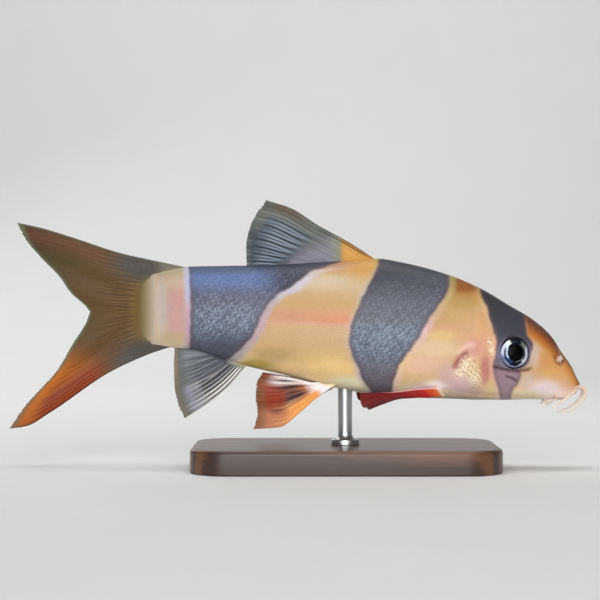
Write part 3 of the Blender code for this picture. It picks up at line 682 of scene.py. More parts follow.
CREASE_BELOW_EYE = ((40.4, 21.5), (42.5, 20.95), (44.6, 20.5), (46.7, 20.45), (48.4, 20.7), (49.8, 21.4))
GILL_SLIT = ((36.4, 24.9), (35.2, 24.0), (34.1, 23.0), (33.1, 21.4), (32.5, 20.2))
# Creases and soft folds on the side of the head: points as (x, z), how far they are moved, how far the
# skin stands out there, width, how much of the length fades at either end, and how much shade is painted in
# it
SIDE_LINES = (
    (CREASE_BELOW_EYE, (0, 0), -0.28, 0.24, 0.15, 0.95),
    (CREASE_BELOW_EYE, (0, 0.45), 0.10, 0.35, 0.15, 0.0),
    (((43.4, 19.4), (44.8, 19.0), (46.4, 18.1)), (0, 0), -0.20, 0.18, 0.15, 0.8),
    (((41.8, 30.2), (41.0, 27.0), (40.7, 23.0), (40.2, 19.0), (39.4, 16.4)), (0, 0), -0.16, 0.35, 0.15, 0.0),
    (((50.6, 17.6), (52.6, 17.0), (54.2, 16.4)), (0, 0), -0.14, 0.20, 0.15, 0.0),
    (((53.2, 21.9), (54.6, 21.2), (55.9, 20.2)), (0, 0), -0.10, 0.22, 0.15, 0.0),
    (GILL_SLIT, (0, 0), -0.20, 0.6, 0.35, 0.0),
    (GILL_SLIT, (0.8, -0.5), 0.10, 0.8, 0.35, 0.0),
)
# The eye's middle in the side view, and the nostril on the straight body, as (x, z)
EYE_DRAWN = (45.7, 24.2)
NOSTRIL = (54.6, 23.0)
# Half ellipses on the underside: place of the front, length, half the width
UPPER_LIP = (58.1, 5.6, 2.6)
MOUTH_LINE = (57.1, 4.4, 1.8)
LOWER_LIP = (56.3, 3.5, 1.25)
HALF_ELLIPSE_POINTS = 25
# Relief round the eye by the distance from its middle, where the skin folds over the eyeball, and how far
# from there its points are drawn closer to the fold
ORBIT = Profile([
    (0.0, -1.3), (2.75, -1.2), (3.0, -0.7), (3.12, -0.3), (3.3, -0.10), (3.55, 0.10), (3.9, 0.12), (4.6, 0.0),
])
ORBIT_EDGE = 3.12
ORBIT_CROWDING_REACH = 0.7


def half_ellipse(curve):
    front, length, half_width = curve
    turn = np.linspace(-math.pi / 2, math.pi / 2, HALF_ELLIPSE_POINTS)
    return list(zip(front - length * (1 - np.cos(turn)), half_width * np.sin(turn)))


def eye_frame(side):
    """The eye's place on the surface, the way out of it, and the two ways along the surface."""
    point, out = side_point(EYE_X, EYE_Z, side)
    ahead = unit(np.array([1.0, 0.0, 0.0]) - out * out[0])
    above = np.cross(ahead, out)
    return point, out, ahead, above * np.sign(above[2])


def crowd_to_circle(points, side):
    """Moves points along the surface so that more of them lie at the edge of the eye's socket."""
    centre, _, ahead, above = eye_frame(side)
    off = (points - centre) / MM
    a, b = off @ ahead, off @ above
    radius = np.hypot(a, b)
    gap = radius - ORBIT_EDGE
    near = (np.abs(gap) < ORBIT_CROWDING_REACH) & (points[..., 1] * side > 0)
    pulled = ORBIT_EDGE + gap * (0.45 + 0.55 * np.abs(gap) / ORBIT_CROWDING_REACH)
    move = np.where(near, pulled / np.maximum(radius, 1e-9) - 1, 0.0)[..., None]
    return points + (a[..., None] * ahead + b[..., None] * above) * move * MM


def nostril_flap(off_x, off_z):
    """1 on the small five-pointed flap of skin at a nostril, and 0 off it."""
    turn = np.arctan2(off_z, off_x)
    reach = 0.56 + 0.16 * np.cos(5 * turn + 0.6) + 0.08 * np.cos(2 * turn - 1.0)
    return smooth((reach - np.hypot(off_x, off_z)) / 0.32 + 0.5)


def relief(points, normals):
    """How far the skin stands out at points of the body, in millimetres, and the painted shade in its creases
    and pits.
    """
    x, y, z = np.moveaxis(points / MM, -1, 0)
    drawn_x, drawn_z = drawn_places(points)
    on_side = rises(np.abs(normals[..., 1]), 0.25, 0.3)
    down = -normals[..., 2]
    rise = np.zeros(np.shape(x))
    dark = np.zeros(np.shape(x))
    for line, (move_x, move_z), height, width, ends, painted_shade in SIDE_LINES:
        gap, along = distance_to(drawn_x - move_x, drawn_z - move_z, line)
        here = tapered(along, ends) * on_side
        rise += height * bump(gap, width) * here
        dark = np.maximum(dark, painted_shade * bump(gap, 1.35 * width) * here)
    # eye sockets, with painted shadow round the eye, darkest above and below it
    for side in (RIGHT, LEFT):
        centre, _, ahead, above = eye_frame(side)
        off = (points - centre) / MM
        radius = np.hypot(off @ ahead, off @ above)
        here = points[..., 1] * side > 0
        rise += np.where(here, ORBIT(radius), 0.0)
        socket_shadow = np.maximum(bump(off @ above - 3.2, 1.5), bump(off @ above + 3.5, 0.9))
        dark = np.maximum(dark, here * (0.25 + 0.65 * socket_shadow) * falls(radius, 3.6, 0.5))
    # nostrils: a starry flap of skin, with a pit before it and a shallow one behind, and painted shade in the
    # pits
    off_x, off_z = x - NOSTRIL[0], z - NOSTRIL[1]
    behind = np.hypot(off_x + 1.15, off_z - 0.5)
    pit = 0.55 * bump(np.hypot(off_x - 0.8, off_z + 0.5), 0.3) + 0.25 * bump(behind, 0.32)
    rise += (0.32 * nostril_flap(off_x, off_z) - pit) * on_side
    shade = np.maximum(0.7 * bump(np.hypot(off_x - 0.75, off_z + 0.45), 0.3), 0.4 * bump(behind, 0.3))
    dark = np.maximum(dark, shade * on_side)
    # lips and the line between them, on the underside, with painted shade along the line
    below = smooth(down / 0.3)
    for curve, height, width in ((UPPER_LIP, 0.42, 0.62), (LOWER_LIP, 0.36, 0.5)):
        gap, along = distance_to(x, y, half_ellipse(curve))
        rise += height * np.sqrt(np.clip(1 - (gap / width) ** 2, 0, 1)) * tapered(along, 0.2) * below
    gap, along = distance_to(x, y, half_ellipse(MOUTH_LINE))
    line = bump(gap, 0.2) * tapered(along, 0.12) * below
    rise -= 0.55 * line
    dark = np.maximum(dark, 0.85 * line)
    # the folds of the throat
    folds = np.sin((np.abs(y) + (x - 40) * 0.16) * 4.0)
    rise += 0.05 * folds * bump(x - 41, 5.5) * rises(down, 0.35, 0.4)
    rise -= 0.22 * bump(y, 0.35) * bump(x - 41, 5) * rises(down, 0.5, 0.4)
    # lateral line
    bottom, top = belly_z(points[..., 0]) / MM, back_z(points[..., 0]) / MM
    rise -= 0.07 * bump(z - bottom - 0.535 * (top - bottom), 0.16) * falls(x, 34, 3) * on_side
    # the smooth muscles of flank and cheek
    rise += 0.10 * bump(x - 38.5, 2.2) * bump(z - 22, 4.0) * on_side
    return rise, dark


# Skin


def skin_places():
    """Places of the skin's rings: close together on the head, and closest at the gill cover's edge."""
    share = np.linspace(0.012, 1.0, 6000)
    x = SNOUT_X - BODY_LENGTH * share**2
    outline = np.stack([BACK(share), BELLY(share), HALF_WIDTH(share)]) * MM
    arc = np.hypot(np.diff(x), np.abs(np.diff(outline, axis=1)).max(axis=0))
    middle = (x[1:] + x[:-1]) / 2 / MM
    spacing = np.interp(middle, *zip(*SKIN_SPACING))
    count = np.concatenate([[0], np.cumsum(arc / spacing / MM)])
    return np.interp(np.linspace(0, count[-1], SKIN_RINGS), count, x)


def ring_angles(count):
    """Angles round the body whose points lie about evenly along the surface."""
    turn = full_turn(count)
    return turn + 0.125 * np.sin(2 * turn)


def follow_gill(x, angle):
    """Moves places near the gill cover so that they follow its curved edge."""
    away = (x - GILL_X) / GILL_BULGE_REACH
    follow = np.where(np.abs(away) < 1, (1 - away * away) ** 2, 0.0)
    return x + (gill_edge_x(height_share(body_point(x, angle), x)) - GILL_X) * follow


def sunk_share(x):
    """How far the scales have sunk into the skin towards the stalk's end, from 0 to 1."""
    return falls(x / MM, -28.2, 2.2)


def coat_depth(points):
    """How deep the scales lie over the skin, which is nothing on the head and at the stalk's end."""
    x = points[..., 0]
    return COAT_DEPTH * falls(x, gill_edge_x(height_share(points, x)), 3.0 * MM) * (1 - sunk_share(x))


def make_skin(material):
    x, angle = np.meshgrid(skin_places(), ring_angles(SKIN_SIDES), indexing="ij")
    warped = follow_gill(x, angle)
    straight = body_point(warped, angle)
    normals = outward(np.minimum(warped, SNOUT_X - 0.25 * MM), angle)
    for side in (RIGHT, LEFT):
        straight = crowd_to_circle(straight, side)
    rise, dark = relief(straight, normals)
    points = straight + normals * (rise * MM - coat_depth(straight))[..., None]
    # the stalk's rounded end, inside the root of the tail fin
    end, middle = points[-1], points[-1].mean(axis=0)
    q = np.arange(1, STALK_CAP_RINGS + 1)[:, None, None] / (STALK_CAP_RINGS + 1)
    size = np.sqrt(1 - q * q)
    cap = middle + (end - middle) * np.concatenate([q**0, size * (1 - 0.6 * q), size], axis=-1)
    cap[..., :1] -= STALK_CAP * q
    points, straight = np.concatenate([points, cap]), np.concatenate([straight, cap])
    snout = points[0].mean(axis=0) + np.array([0.03 * MM, 0, 0])
    tail = points[-1].mean(axis=0) - np.array([0.15 * MM, 0, 0])
    places = np.concatenate([[straight[0].mean(axis=0), tail], straight.reshape(-1, 3)])
    colour, silver = markings(places)
    # painted glints in clumped flecks on the silvery parts of the bands
    colour = painted(colour, ((150, 166, 186), 0.5 * silver * glitter(*drawn_places(places))))
    # painted shade in the creases, pits, mouth line and eye sockets that relief() gives
    shade = np.zeros(len(places))
    shade[2 : 2 + dark.size] = dark.ravel()
    colour = painted(head_details(places, colour), ((58, 26, 24), shade))
    piece = ring_piece("skin", bent(points), bent([snout, tail]), material, "flesh", paint=colour,
                       floats={"silver": silver}, uv=ring_map(len(points), SKIN_SIDES))
    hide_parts("head", "trunk", "tail_stalk")


# Specks on the gill cover and behind the eye: middle, reach along x and z, how brown the gaps are
SPECKLED = (
    (35.7, 21.6, 1.5, 1.9, 0.3), (37.2, 19.0, 1.2, 1.4, 0.7), (34.0, 20.0, 0.9, 0.9, 0.2),
    (40.4, 26.6, 0.5, 0.9, 0.1), (40.7, 24.6, 0.5, 0.9, 0.1),
)
# The snout's ridge and tip, by how far below the back's outline they lie in millimetres
RIDGE_COLOURS = (
    (0.0, (88, 50, 48)), (1.0, (98, 54, 48)), (1.9, (130, 66, 38)), (3.0, (172, 100, 36)),
    (3.8, (190, 118, 46)), (5.2, (206, 146, 80)),
)
TIP_COLOURS = ((0.0, (118, 76, 48)), (0.9, (164, 102, 52)), (2.0, (208, 136, 64)), (4.0, (212, 158, 92)))


def head_details(points, colour):
    """Small marks on the head: the gill's red slit with a painted highlight above it, gold specks, pale lips,
    the snout and the nostrils.
    """
    straight_x, y, straight_z = points.T / MM
    x, z = drawn_places(points)
    gap, along = distance_to(x, z, GILL_SLIT)
    low = z > 16
    above = rises(z - 0.9 * (x - 34.1), 22.4, 0.4)
    off_eye = np.hypot(x - EYE_DRAWN[0], z - EYE_DRAWN[1])
    # the first coat is a painted highlight above the gill slit
    colour = painted(
        colour,
        ((248, 216, 206), 0.45 * bump(gap - 1.0, 0.6) * above * (x > 33.6) * low),
        ((156, 76, 72), bump(gap, 0.70) * tapered(along, 0.25) * low),
        ((168, 158, 180), 0.6 * bump(off_eye - 3.45, 0.30) * falls(x, 44.4, 1.0)),
    )
    speck = flecks(x * 1.25, -z * 1.25) + flecks(-z * 1.5, x * 1.5) - 1
    for *place, brown in SPECKLED:
        near = np.minimum(1.4 * patch(x, z, *place), 1)
        colour = painted(
            colour,
            ((255, 242, 212), near * smooth(speck * 1.3 + 0.70) * 0.9),
            ((116, 84, 60), near * smooth(-speck * 2.0 - 0.35) * brown),
        )
    gap, _ = distance_to(straight_x, y, half_ellipse(UPPER_LIP))
    below = (z < belly_z(points[:, 0]) / MM + 2.2) & (x > 50)
    # the snout's dark red ridge, which pales to orange and gold down its side, and its brown tip
    under = back_z(points[:, 0]) / MM - straight_z
    ridge = 0.92 * span(straight_x, 47.2, 1.0, 55.4, 1.6) * falls(under, 5.6, 2.2)
    tip = 0.9 * rises(straight_x, 54.4, 1.4) * falls(under, 5.2, 2.0) * rises(straight_z, 16.7, 0.8)
    off_x, off_z = straight_x - NOSTRIL[0], straight_z - NOSTRIL[1]
    return painted(
        colour,
        ((232, 208, 200), 0.85 * bump(gap, 0.7) * below),
        (blend_by(RIDGE_COLOURS, under), ridge),
        (blend_by(TIP_COLOURS, under), tip),
        ((128, 80, 54), 0.6 * bump(np.hypot(off_x, off_z) - 1.0, 0.35)),
        ((228, 208, 208), 0.8 * nostril_flap(off_x, off_z)),
    )


# Scales


def scale_shape():
    """The outline, crown, middle and root of one scale, in shares of its length, width and length."""
    turn = full_turn(SCALE_SIDES)
    rear, aside = np.cos(turn), np.sin(turn)
    outline = np.stack([0.80 * rear, 0.62 * aside, -0.01 + 0.025 * rear], axis=-1)
    crown = np.stack([0.08 + 0.44 * rear, 0.36 * aside, 0.022 + 0.022 * rear], axis=-1)
    return np.concatenate([outline, crown, [[0.05, 0.0, 0.032]], [[0.0, 0.0, -0.30]]])


def scale_faces():
    """Faces from the outline's corners i and j, the crown's above them, the middle and the root."""
    i = np.arange(SCALE_SIDES)
    j = np.roll(i, -1)
    crown_i, crown_j = SCALE_SIDES + i, SCALE_SIDES + j
    middle, root = 0 * i + 2 * SCALE_SIDES, 0 * i + 2 * SCALE_SIDES + 1
    corners = ((middle, crown_i, crown_j), (crown_i, i, j), (crown_i, j, crown_j), (root, j, i))
    return np.concatenate([np.stack(c, axis=-1) for c in corners])


def scale_places(rng):
    """Place, angle and length of each scale, in staggered rows that are crowded where the body is slim."""
    x_fine = np.linspace(GILL_X - 0.5 * MM, STALK_END_X + 0.4 * MM, 4000)
    depth_here = back_z(x_fine) - belly_z(x_fine)
    pitch = np.clip(SCALE_PITCH * depth_here / SCALE_PITCH_DEPTH, SCALE_PITCH_LEAST, SCALE_PITCH)
    count = np.concatenate([[0.0], np.cumsum(np.abs(np.diff(x_fine)) / pitch[1:])])
    rows = []
    for i, angle in enumerate(ring_angles(SCALE_ROWS * 4)[2::4]):
        steps = np.arange(0.5 if i % 2 else 0.0, count[-1], 1.0)
        steps = steps + rng.uniform(-SCALE_STRAY, SCALE_STRAY, len(steps))
        rows.append((np.interp(steps, count, x_fine), 0 * steps + angle, np.interp(steps, count, pitch)))
    return [np.concatenate(column) for column in zip(*rows)]


def make_scales(material):
    """Small overlapping scales in rows along the body, each a closed plate with a raised rear edge."""
    rng = np.random.default_rng(SEED)
    x, angle, size = scale_places(rng)
    around_step = 2 * math.pi / SCALE_ROWS
    angle = angle + rng.uniform(-SCALE_STRAY_ASIDE, SCALE_STRAY_ASIDE, len(x)) * around_step
    warped = follow_gill(x, angle)
    centre, out = body_point(warped, angle), outward(warped, angle)
    across = body_point(warped, angle + around_step / 2) - body_point(warped, angle - around_step / 2)
    back_way = unit(np.array([-1.0, 0, 0]) - out * -out[:, :1])
    side_way = np.cross(out, back_way)
    root_colour, root_silver = markings(centre)
    root_silver = root_silver[:, None]
    tilt = rng.normal(0.0, 1.0, (len(x), 2)) * (0.012 + 0.03 * root_silver)
    glint = rng.uniform(0, 1, (len(x), 1))
    shape = scale_shape()
    a = shape[:, 0] * size[:, None]
    b = shape[:, 1] * np.linalg.norm(across, axis=-1)[:, None]
    c = shape[:, 2] * size[:, None] + a * tilt[:, :1] + b * tilt[:, 1:]
    c = c - COAT_DEPTH * (0.35 + 1.5 * sunk_share(centre[:, :1]))
    corners = centre[:, None]
    for way, length in ((back_way, a), (side_way, b), (out, c)):
        corners = corners + way[:, None] * length[..., None]
    colour, _ = markings(corners.reshape(-1, 3))
    colour = 0.75 * colour.reshape(corners.shape) + 0.25 * root_colour[:, None]
    # the silvery scales get painted glints in slanting flecks on the dark bands, brightest on some of the
    # scales
    glint_flecks = smooth(0.34 * glint + 0.95 * glitter(*drawn_places(corners)) - 0.06)
    rim = np.repeat([0.7, 0.15, 0.0, 1.0], [SCALE_SIDES, SCALE_SIDES, 1, 1])
    colour = painted(
        colour * (1 + (glint - 0.5) * (0.04 + 0.16 * root_silver))[..., None],
        ((58, 62, 76), root_silver * (1 - glint_flecks) * 0.35),
        ((176, 190, 208), root_silver * glint_flecks * (1 - 0.4 * rim) * 0.68),
    )
    silver = root_silver * (1 - 0.6 * rim) * (0.15 + 0.5 * glint_flecks)
    # each scale is a small patch at its root's place on the unwrapped skin
    u = 0.02 + 0.96 * (centre[:, 0] - STALK_END_X + 1 * MM) / (GILL_X - STALK_END_X + 2 * MM)
    v = 0.02 + 0.96 * (angle % (2 * math.pi)) / (2 * math.pi)
    uv = np.stack([u, v], axis=-1)[:, None] + shape[:, :2] * SCALE_PATCH
    left, back = centre[:, 1] >= 0, np.sin(angle) >= 0
    for side_word, on_this_side in (("left", left), ("right", ~left)):
        for level_word, at_this_level in (("back", back), ("belly", ~back)):
            chosen = on_this_side & at_this_level
            shifts = len(shape) * np.arange(chosen.sum())[:, None, None]
            piece = mesh_piece(
                f"scales_{side_word}_{level_word}", bent(corners[chosen].reshape(-1, 3)),
                [(scale_faces() + shifts).reshape(-1, 3)], material, "flesh",
                paint=colour[chosen].reshape(-1, 3), floats={"silver": silver[chosen].ravel()},
                uv=uv[chosen].reshape(-1, 2),
            )
            piece.data.set_sharp_from_angle(angle=SCALE_RIM_ANGLE)


# Eyes

EYE_FRONT_RINGS, EYE_BACK_RINGS = 60, 10
EYE_SIDES = 112
# The lens over the pupil, the pupil and the iris, in millimetres
LENS_HEIGHT, LENS_RADIUS = 0.12, 1.75
PUPIL_RADIUS, IRIS_RADIUS = 1.74, 3.0
# Arcs of colour on the iris: middle angle and reach each way in degrees, middle radius and reach each
# way in millimetres, colour, strength. Angle 0 is towards the snout and a quarter turn is up. The white
# arcs towards the tail and low towards the snout are painted highlights, and the dark arc at the top is
# painted shadow of the socket's rim.
IRIS_ARCS = (
    (88, 52, 2.50, 0.80, (15, 17, 30), 0.97),
    (266, 38, 2.15, 0.50, (17, 19, 28), 0.95),
    (36, 22, 2.40, 0.70, (44, 50, 54), 0.92),
    (230, 22, 2.10, 0.30, (46, 66, 116), 0.85),
    (182, 34, 1.88, 0.18, (198, 220, 255), 0.95),
    (140, 26, 2.42, 0.44, (246, 250, 255), 0.97),
    (172, 26, 2.66, 0.26, (228, 234, 255), 0.95),
    (214, 28, 2.74, 0.22, (118, 128, 176), 0.90),
    (192, 40, 2.26, 0.15, (30, 40, 78), 0.95),
    (160, 22, 2.62, 0.05, (96, 108, 150), 0.70),
    (348, 44, 1.92, 0.16, (62, 68, 80), 0.90),
    (346, 38, 2.40, 0.21, (250, 252, 255), 0.97),
    (344, 48, 2.82, 0.14, (158, 166, 176), 0.90),
    (352, 30, 2.24, 0.04, (84, 92, 104), 0.80),
    (42, 16, 2.06, 0.09, (146, 152, 142), 0.75),
    (34, 20, 2.46, 0.11, (184, 190, 174), 0.80),
    (50, 14, 2.78, 0.08, (112, 118, 118), 0.70),
    (312, 24, 2.62, 0.10, (196, 204, 214), 0.85),
    (300, 30, 1.90, 0.07, (150, 158, 172), 0.60),
    (272, 56, 2.86, 0.10, (152, 160, 182), 0.85),
    (98, 20, 2.22, 0.05, (98, 104, 122), 0.50),
)


def make_eye(side, word, material):
    """An eyeball with a domed lens over the pupil, arcs of colour on the iris, some of them painted
    highlights and painted shadow, and a dark rim with painted shadow above and below.
    """
    point, out, ahead, above = eye_frame(side)
    centre = point - out * EYE_SINK
    polar = np.concatenate([np.linspace(0.02, 1.15, EYE_FRONT_RINGS), np.linspace(1.2, 3.05, EYE_BACK_RINGS)])
    polar, turn = np.meshgrid(polar, full_turn(EYE_SIDES), indexing="ij")
    radius = EYE_RADIUS / MM * np.sin(polar)
    front = polar < math.pi / 2
    lens = LENS_HEIGHT * np.sqrt(np.clip(1 - (radius / LENS_RADIUS) ** 2, 0, 1))
    grooves = 0.05 * bump(radius - 1.82, 0.12) + 0.06 * bump(radius - 2.62, 0.10)
    swell = 0.05 * bump(radius - 2.25, 0.3)
    height = EYE_HALF_DEPTH / MM * np.cos(polar) + np.where(front, lens - grooves + swell, 0.0)
    a, b = radius * np.cos(turn), radius * np.sin(turn)
    points = centre + (a[..., None] * ahead + b[..., None] * above + height[..., None] * out) * MM
    degrees = np.degrees(turn) % 360

    def off_angle(middle):
        return np.abs((degrees - middle + 180) % 360 - 180)

    uneven = radius + 0.035 * np.sin(5 * turn + 1) + 0.010 * np.sin(13 * turn)
    grain = 0.5 + 0.5 * np.sin(turn * 23 + 2 * np.sin(turn * 7)) * np.sin(turn * 41 + radius * 3)
    colour = painted(linear((34, 38, 50)), ((84, 92, 110), 0.30 * grain))
    for middle, reach, middle_radius, half_width, rgb, strength in IRIS_ARCS:
        here = smooth((reach - off_angle(middle)) / 14 + 0.5)
        here = here * smooth((half_width - np.abs(uneven - middle_radius)) / 0.09 + 0.5)
        colour = painted(colour, (rgb, here * strength * (0.9 + 0.1 * grain)))
    # painted shadow of the socket darkens the eye's rim at the top and bottom
    socket_shadow = np.maximum(bump(off_angle(90), 62), 0.8 * bump(off_angle(275), 42))
    rim = painted(
        linear((58, 58, 78)),
        ((140, 138, 168), bump(off_angle(185), 42)),
        ((22, 24, 38), np.minimum(1.3 * socket_shadow, 1)),
    )
    colour = painted(
        colour,
        (rim, rises(radius, IRIS_RADIUS, 0.1)),
        ((4, 4, 6), falls(radius, PUPIL_RADIUS, 0.06) * front),
        ((30, 30, 40), ~front),
    )
    ends = [centre + out * (EYE_HALF_DEPTH + LENS_HEIGHT * MM), centre - out * EYE_HALF_DEPTH]
    paint = np.concatenate([linear([(9, 9, 12), (30, 30, 40)]), colour.reshape(-1, 3)])
    spread = polar / math.pi * 0.48
    uv = np.stack([0.5 + spread * np.cos(turn), 0.5 + spread * np.sin(turn)], axis=-1).reshape(-1, 2)
    uv = np.concatenate([[[0.5, 0.5], [0.5, 0.99]], uv])
    piece = ring_piece(f"eyeball_{word}", bent(points), bent(ends), material, "eye", paint=paint, uv=uv)
    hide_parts(f"eye_{word}")


# Fins

# A fin takes the body's colour at its root, over this length in millimetres
ROOT_BLEND = 0.8
# Thickness of a fin and height of its rays at the root, in millimetres, and mesh columns over the width
# of the widest ray
FIN_THICKNESS, RAY_RIDGE = 0.09, 0.12
COLUMNS_PER_RAY = 16
# Length of one joint of a ray, in millimetres, and how many places along the far edge are worn at random
RAY_JOINT = 0.62
WORN_PLACES = 60
PAIRED_FIN_GAP = 0.5 * MM


def placed(points, side=1):
    """Points given in millimetres, as (x, z) on the midline or as (x, y, z) on one side."""
    return [np.array((x, side * sum(y), z)) * MM for x, *y, z in points]


class Fin:
    """A fin's middle surface, spanned between its root, its first ray, its far edge and its last ray.

    The root is in metres and the rest is in millimetres. Each ray starts at the root and ends at the edge.
    """

    def __init__(self, root, first, margin, last, side=1, root_places=None, cup=0.0):
        first, margin, last = [placed(line, side) for line in (first, margin, last)]
        self.root, self.margin = Path(root, root_places), Path(margin)
        self.first = Path([root[0], *first, margin[0]])
        self.last = Path([root[-1], *last, margin[-1]])
        self.cup = cup

    def __call__(self, across, out):
        u, v = across[..., None], out[..., None]
        between_rays = self.first(out) * (1 - u) + self.last(out) * u
        between_ends = self.root(across) * (1 - v) + self.margin(across) * v
        near_root, near_edge = [
            edge(np.zeros(())) * (1 - u) + edge(np.ones(())) * u for edge in (self.root, self.margin)
        ]
        point = between_rays + between_ends - near_root * (1 - v) - near_edge * v
        off = (point[..., 2] - TAIL_MIDDLE_Z) / TAIL_HALF_SPREAD
        point[..., 1] -= self.cup * off * off * falls(point[..., 0], STALK_END_X, TAIL_CUP_REACH)
        return point


def edge_root(edge_z, places, gap):
    """Points on the outline of the back or the belly, moved up by a gap."""
    return [np.array((x * MM, 0.0, edge_z(x * MM) + gap)) for x in places]


def dorsal_fin():
    return Fin(
        edge_root(back_z, np.linspace(16.6, 0.2, 5), -GAP),
        first=((11.0, 47.3), (4.7, 50.8), (-1.6, 54.7)),
        margin=((-6.6, 56.3), (-8.9, 53.2), (-10.3, 49.8), (-10.9, 46.4), (-10.7, 42.3)),
        last=((-5.0, 42.5),),
    )


def anal_fin():
    return Fin(
        edge_root(belly_z, np.linspace(-10.6, -19.4, 5), GAP),
        first=((-15.0, 16.6), (-19.4, 13.1)),
        margin=((-23.9, 10.3), (-25.4, 13.4), (-26.1, 17.5), (-26.2, 21.4), (-26.0, 25.5)),
        last=((-22.8, 25.2),),
    )


def paired_fin(find_point, root, side, **lines):
    """A fin whose root lies just off the skin, at the points found for pairs of places."""
    found = [find_point(a * MM, b * MM, side) for a, b in root]
    return Fin([point + out * PAIRED_FIN_GAP for point, out in found], side=side, **lines)


def pelvic_fin(side):
    return paired_fin(
        under_point, ((7.5, 2.9), (6.0, 2.6), (4.5, 2.3)), side,
        first=((4.3, 4.1, 15.2), (0.5, 5.5, 12.0), (-3.7, 6.7, 9.1)),
        margin=((-9.1, 7.4, 8.7), (-8.4, 6.6, 11.8), (-8.7, 5.4, 15.0), (-8.6, 4.5, 17.8), (-7.4, 3.8, 19.9)),
        last=((-1.0, 3.2, 19.0),),
    )


def pectoral_fin(side):
    return paired_fin(
        side_point, ((29.9, 15.8), (29.4, 16.6), (28.9, 17.5)), side,
        first=((26.4, 8.9, 15.4), (21.5, 10.9, 15.3), (17.2, 12.7, 14.2)),
        margin=((14.4, 13.4, 13.1), (13.3, 12.6, 13.5), (12.7, 11.2, 14.8), (12.5, 9.4, 16.3)),
        last=((24.6, 8.4, 17.1), (18.6, 9.0, 16.4)),
    )


def tail_lobe(edge_z, gap, on_stalk, behind_stalk, first, margin):
    """A lobe of the tail fin, with its root on the stalk's outline and then behind the stalk's end."""
    heights = (edge_z(STALK_END_X) + gap, *[z * MM for z in behind_stalk], TAIL_MIDDLE_Z)
    root = edge_root(edge_z, on_stalk, gap) + [np.array((STALK_END_X - GAP, 0.0, z)) for z in heights]
    margin = (*margin, (TAIL_FORK_X / MM, TAIL_MIDDLE_Z / MM))
    return Fin(root, first, margin, (), root_places=TAIL_ROOT_PLACES, cup=TAIL_CUP)


def tail_upper():
    return tail_lobe(
        back_z, -GAP, on_stalk=(-23.0, -27.0), behind_stalk=(38.8, 36.2),
        first=((-31.0, 43.8), (-36.9, 45.1), (-47.8, 48.6), (-54.4, 50.6)),
        margin=((-59.5, 51.7), (-58.0, 48.3), (-54.9, 44.4), (-50.7, 40.2), (-48.3, 36.8), (-45.2, 34.0)),
    )


def tail_lower():
    return tail_lobe(
        belly_z, GAP, on_stalk=(-26.5, -28.8), behind_stalk=(27.9, 30.5),
        first=((-31.0, 24.0), (-39.4, 20.2), (-52.3, 11.5), (-57.0, 8.8)),
        margin=((-60.7, 8.2), (-58.6, 11.6), (-54.9, 16.0), (-51.2, 20.4), (-47.9, 26.0), (-45.1, 30.4)),
    )


def ray_centres(simple, forked):
    """Where the rays lie across the fin, the share of its width that each may fill, and which ones fork."""
    centres = [2 * k for k in range(simple)] + [2 * simple + 4 * k + 1 for k in range(forked)]
    widths = np.array([2] * simple + [4] * forked)
    last = 2 * simple + 4 * forked - 2
    return np.array(centres) / last, widths / last, widths > 2


def ray_height(across, out, rays, parts):
    """1 on the middle line of a ray or of one of its branches, and 0 on the membrane between.

    The branches part at two places along the ray.
    """
    height = np.zeros(across.shape)
    for centre, width, forks in zip(*rays):
        thin = width * (0.13 if forks else 0.22) * (1 - 0.45 * out) + 0.0008
        first = forks * 0.235 * width * rises(out, parts[0], 0.4)
        second = forks * 0.115 * width * rises(out, parts[1], 0.3)
        for s, t in ((-1, -1), (-1, 1), (1, -1), (1, 1)):
            height = np.maximum(height, bump(across - (centre + s * first + t * second), thin))
    return height


def between_rays(across, rays):
    """1 on the lines midway between rays, where the membrane is darkest."""
    centres, widths, _ = rays
    line = np.zeros(across.shape)
    for place, width in zip(centres[:-1] + widths[:-1] / 2, widths[1:]):
        line = np.maximum(line, bump(across - place, 0.10 * width + 0.001))
    return line


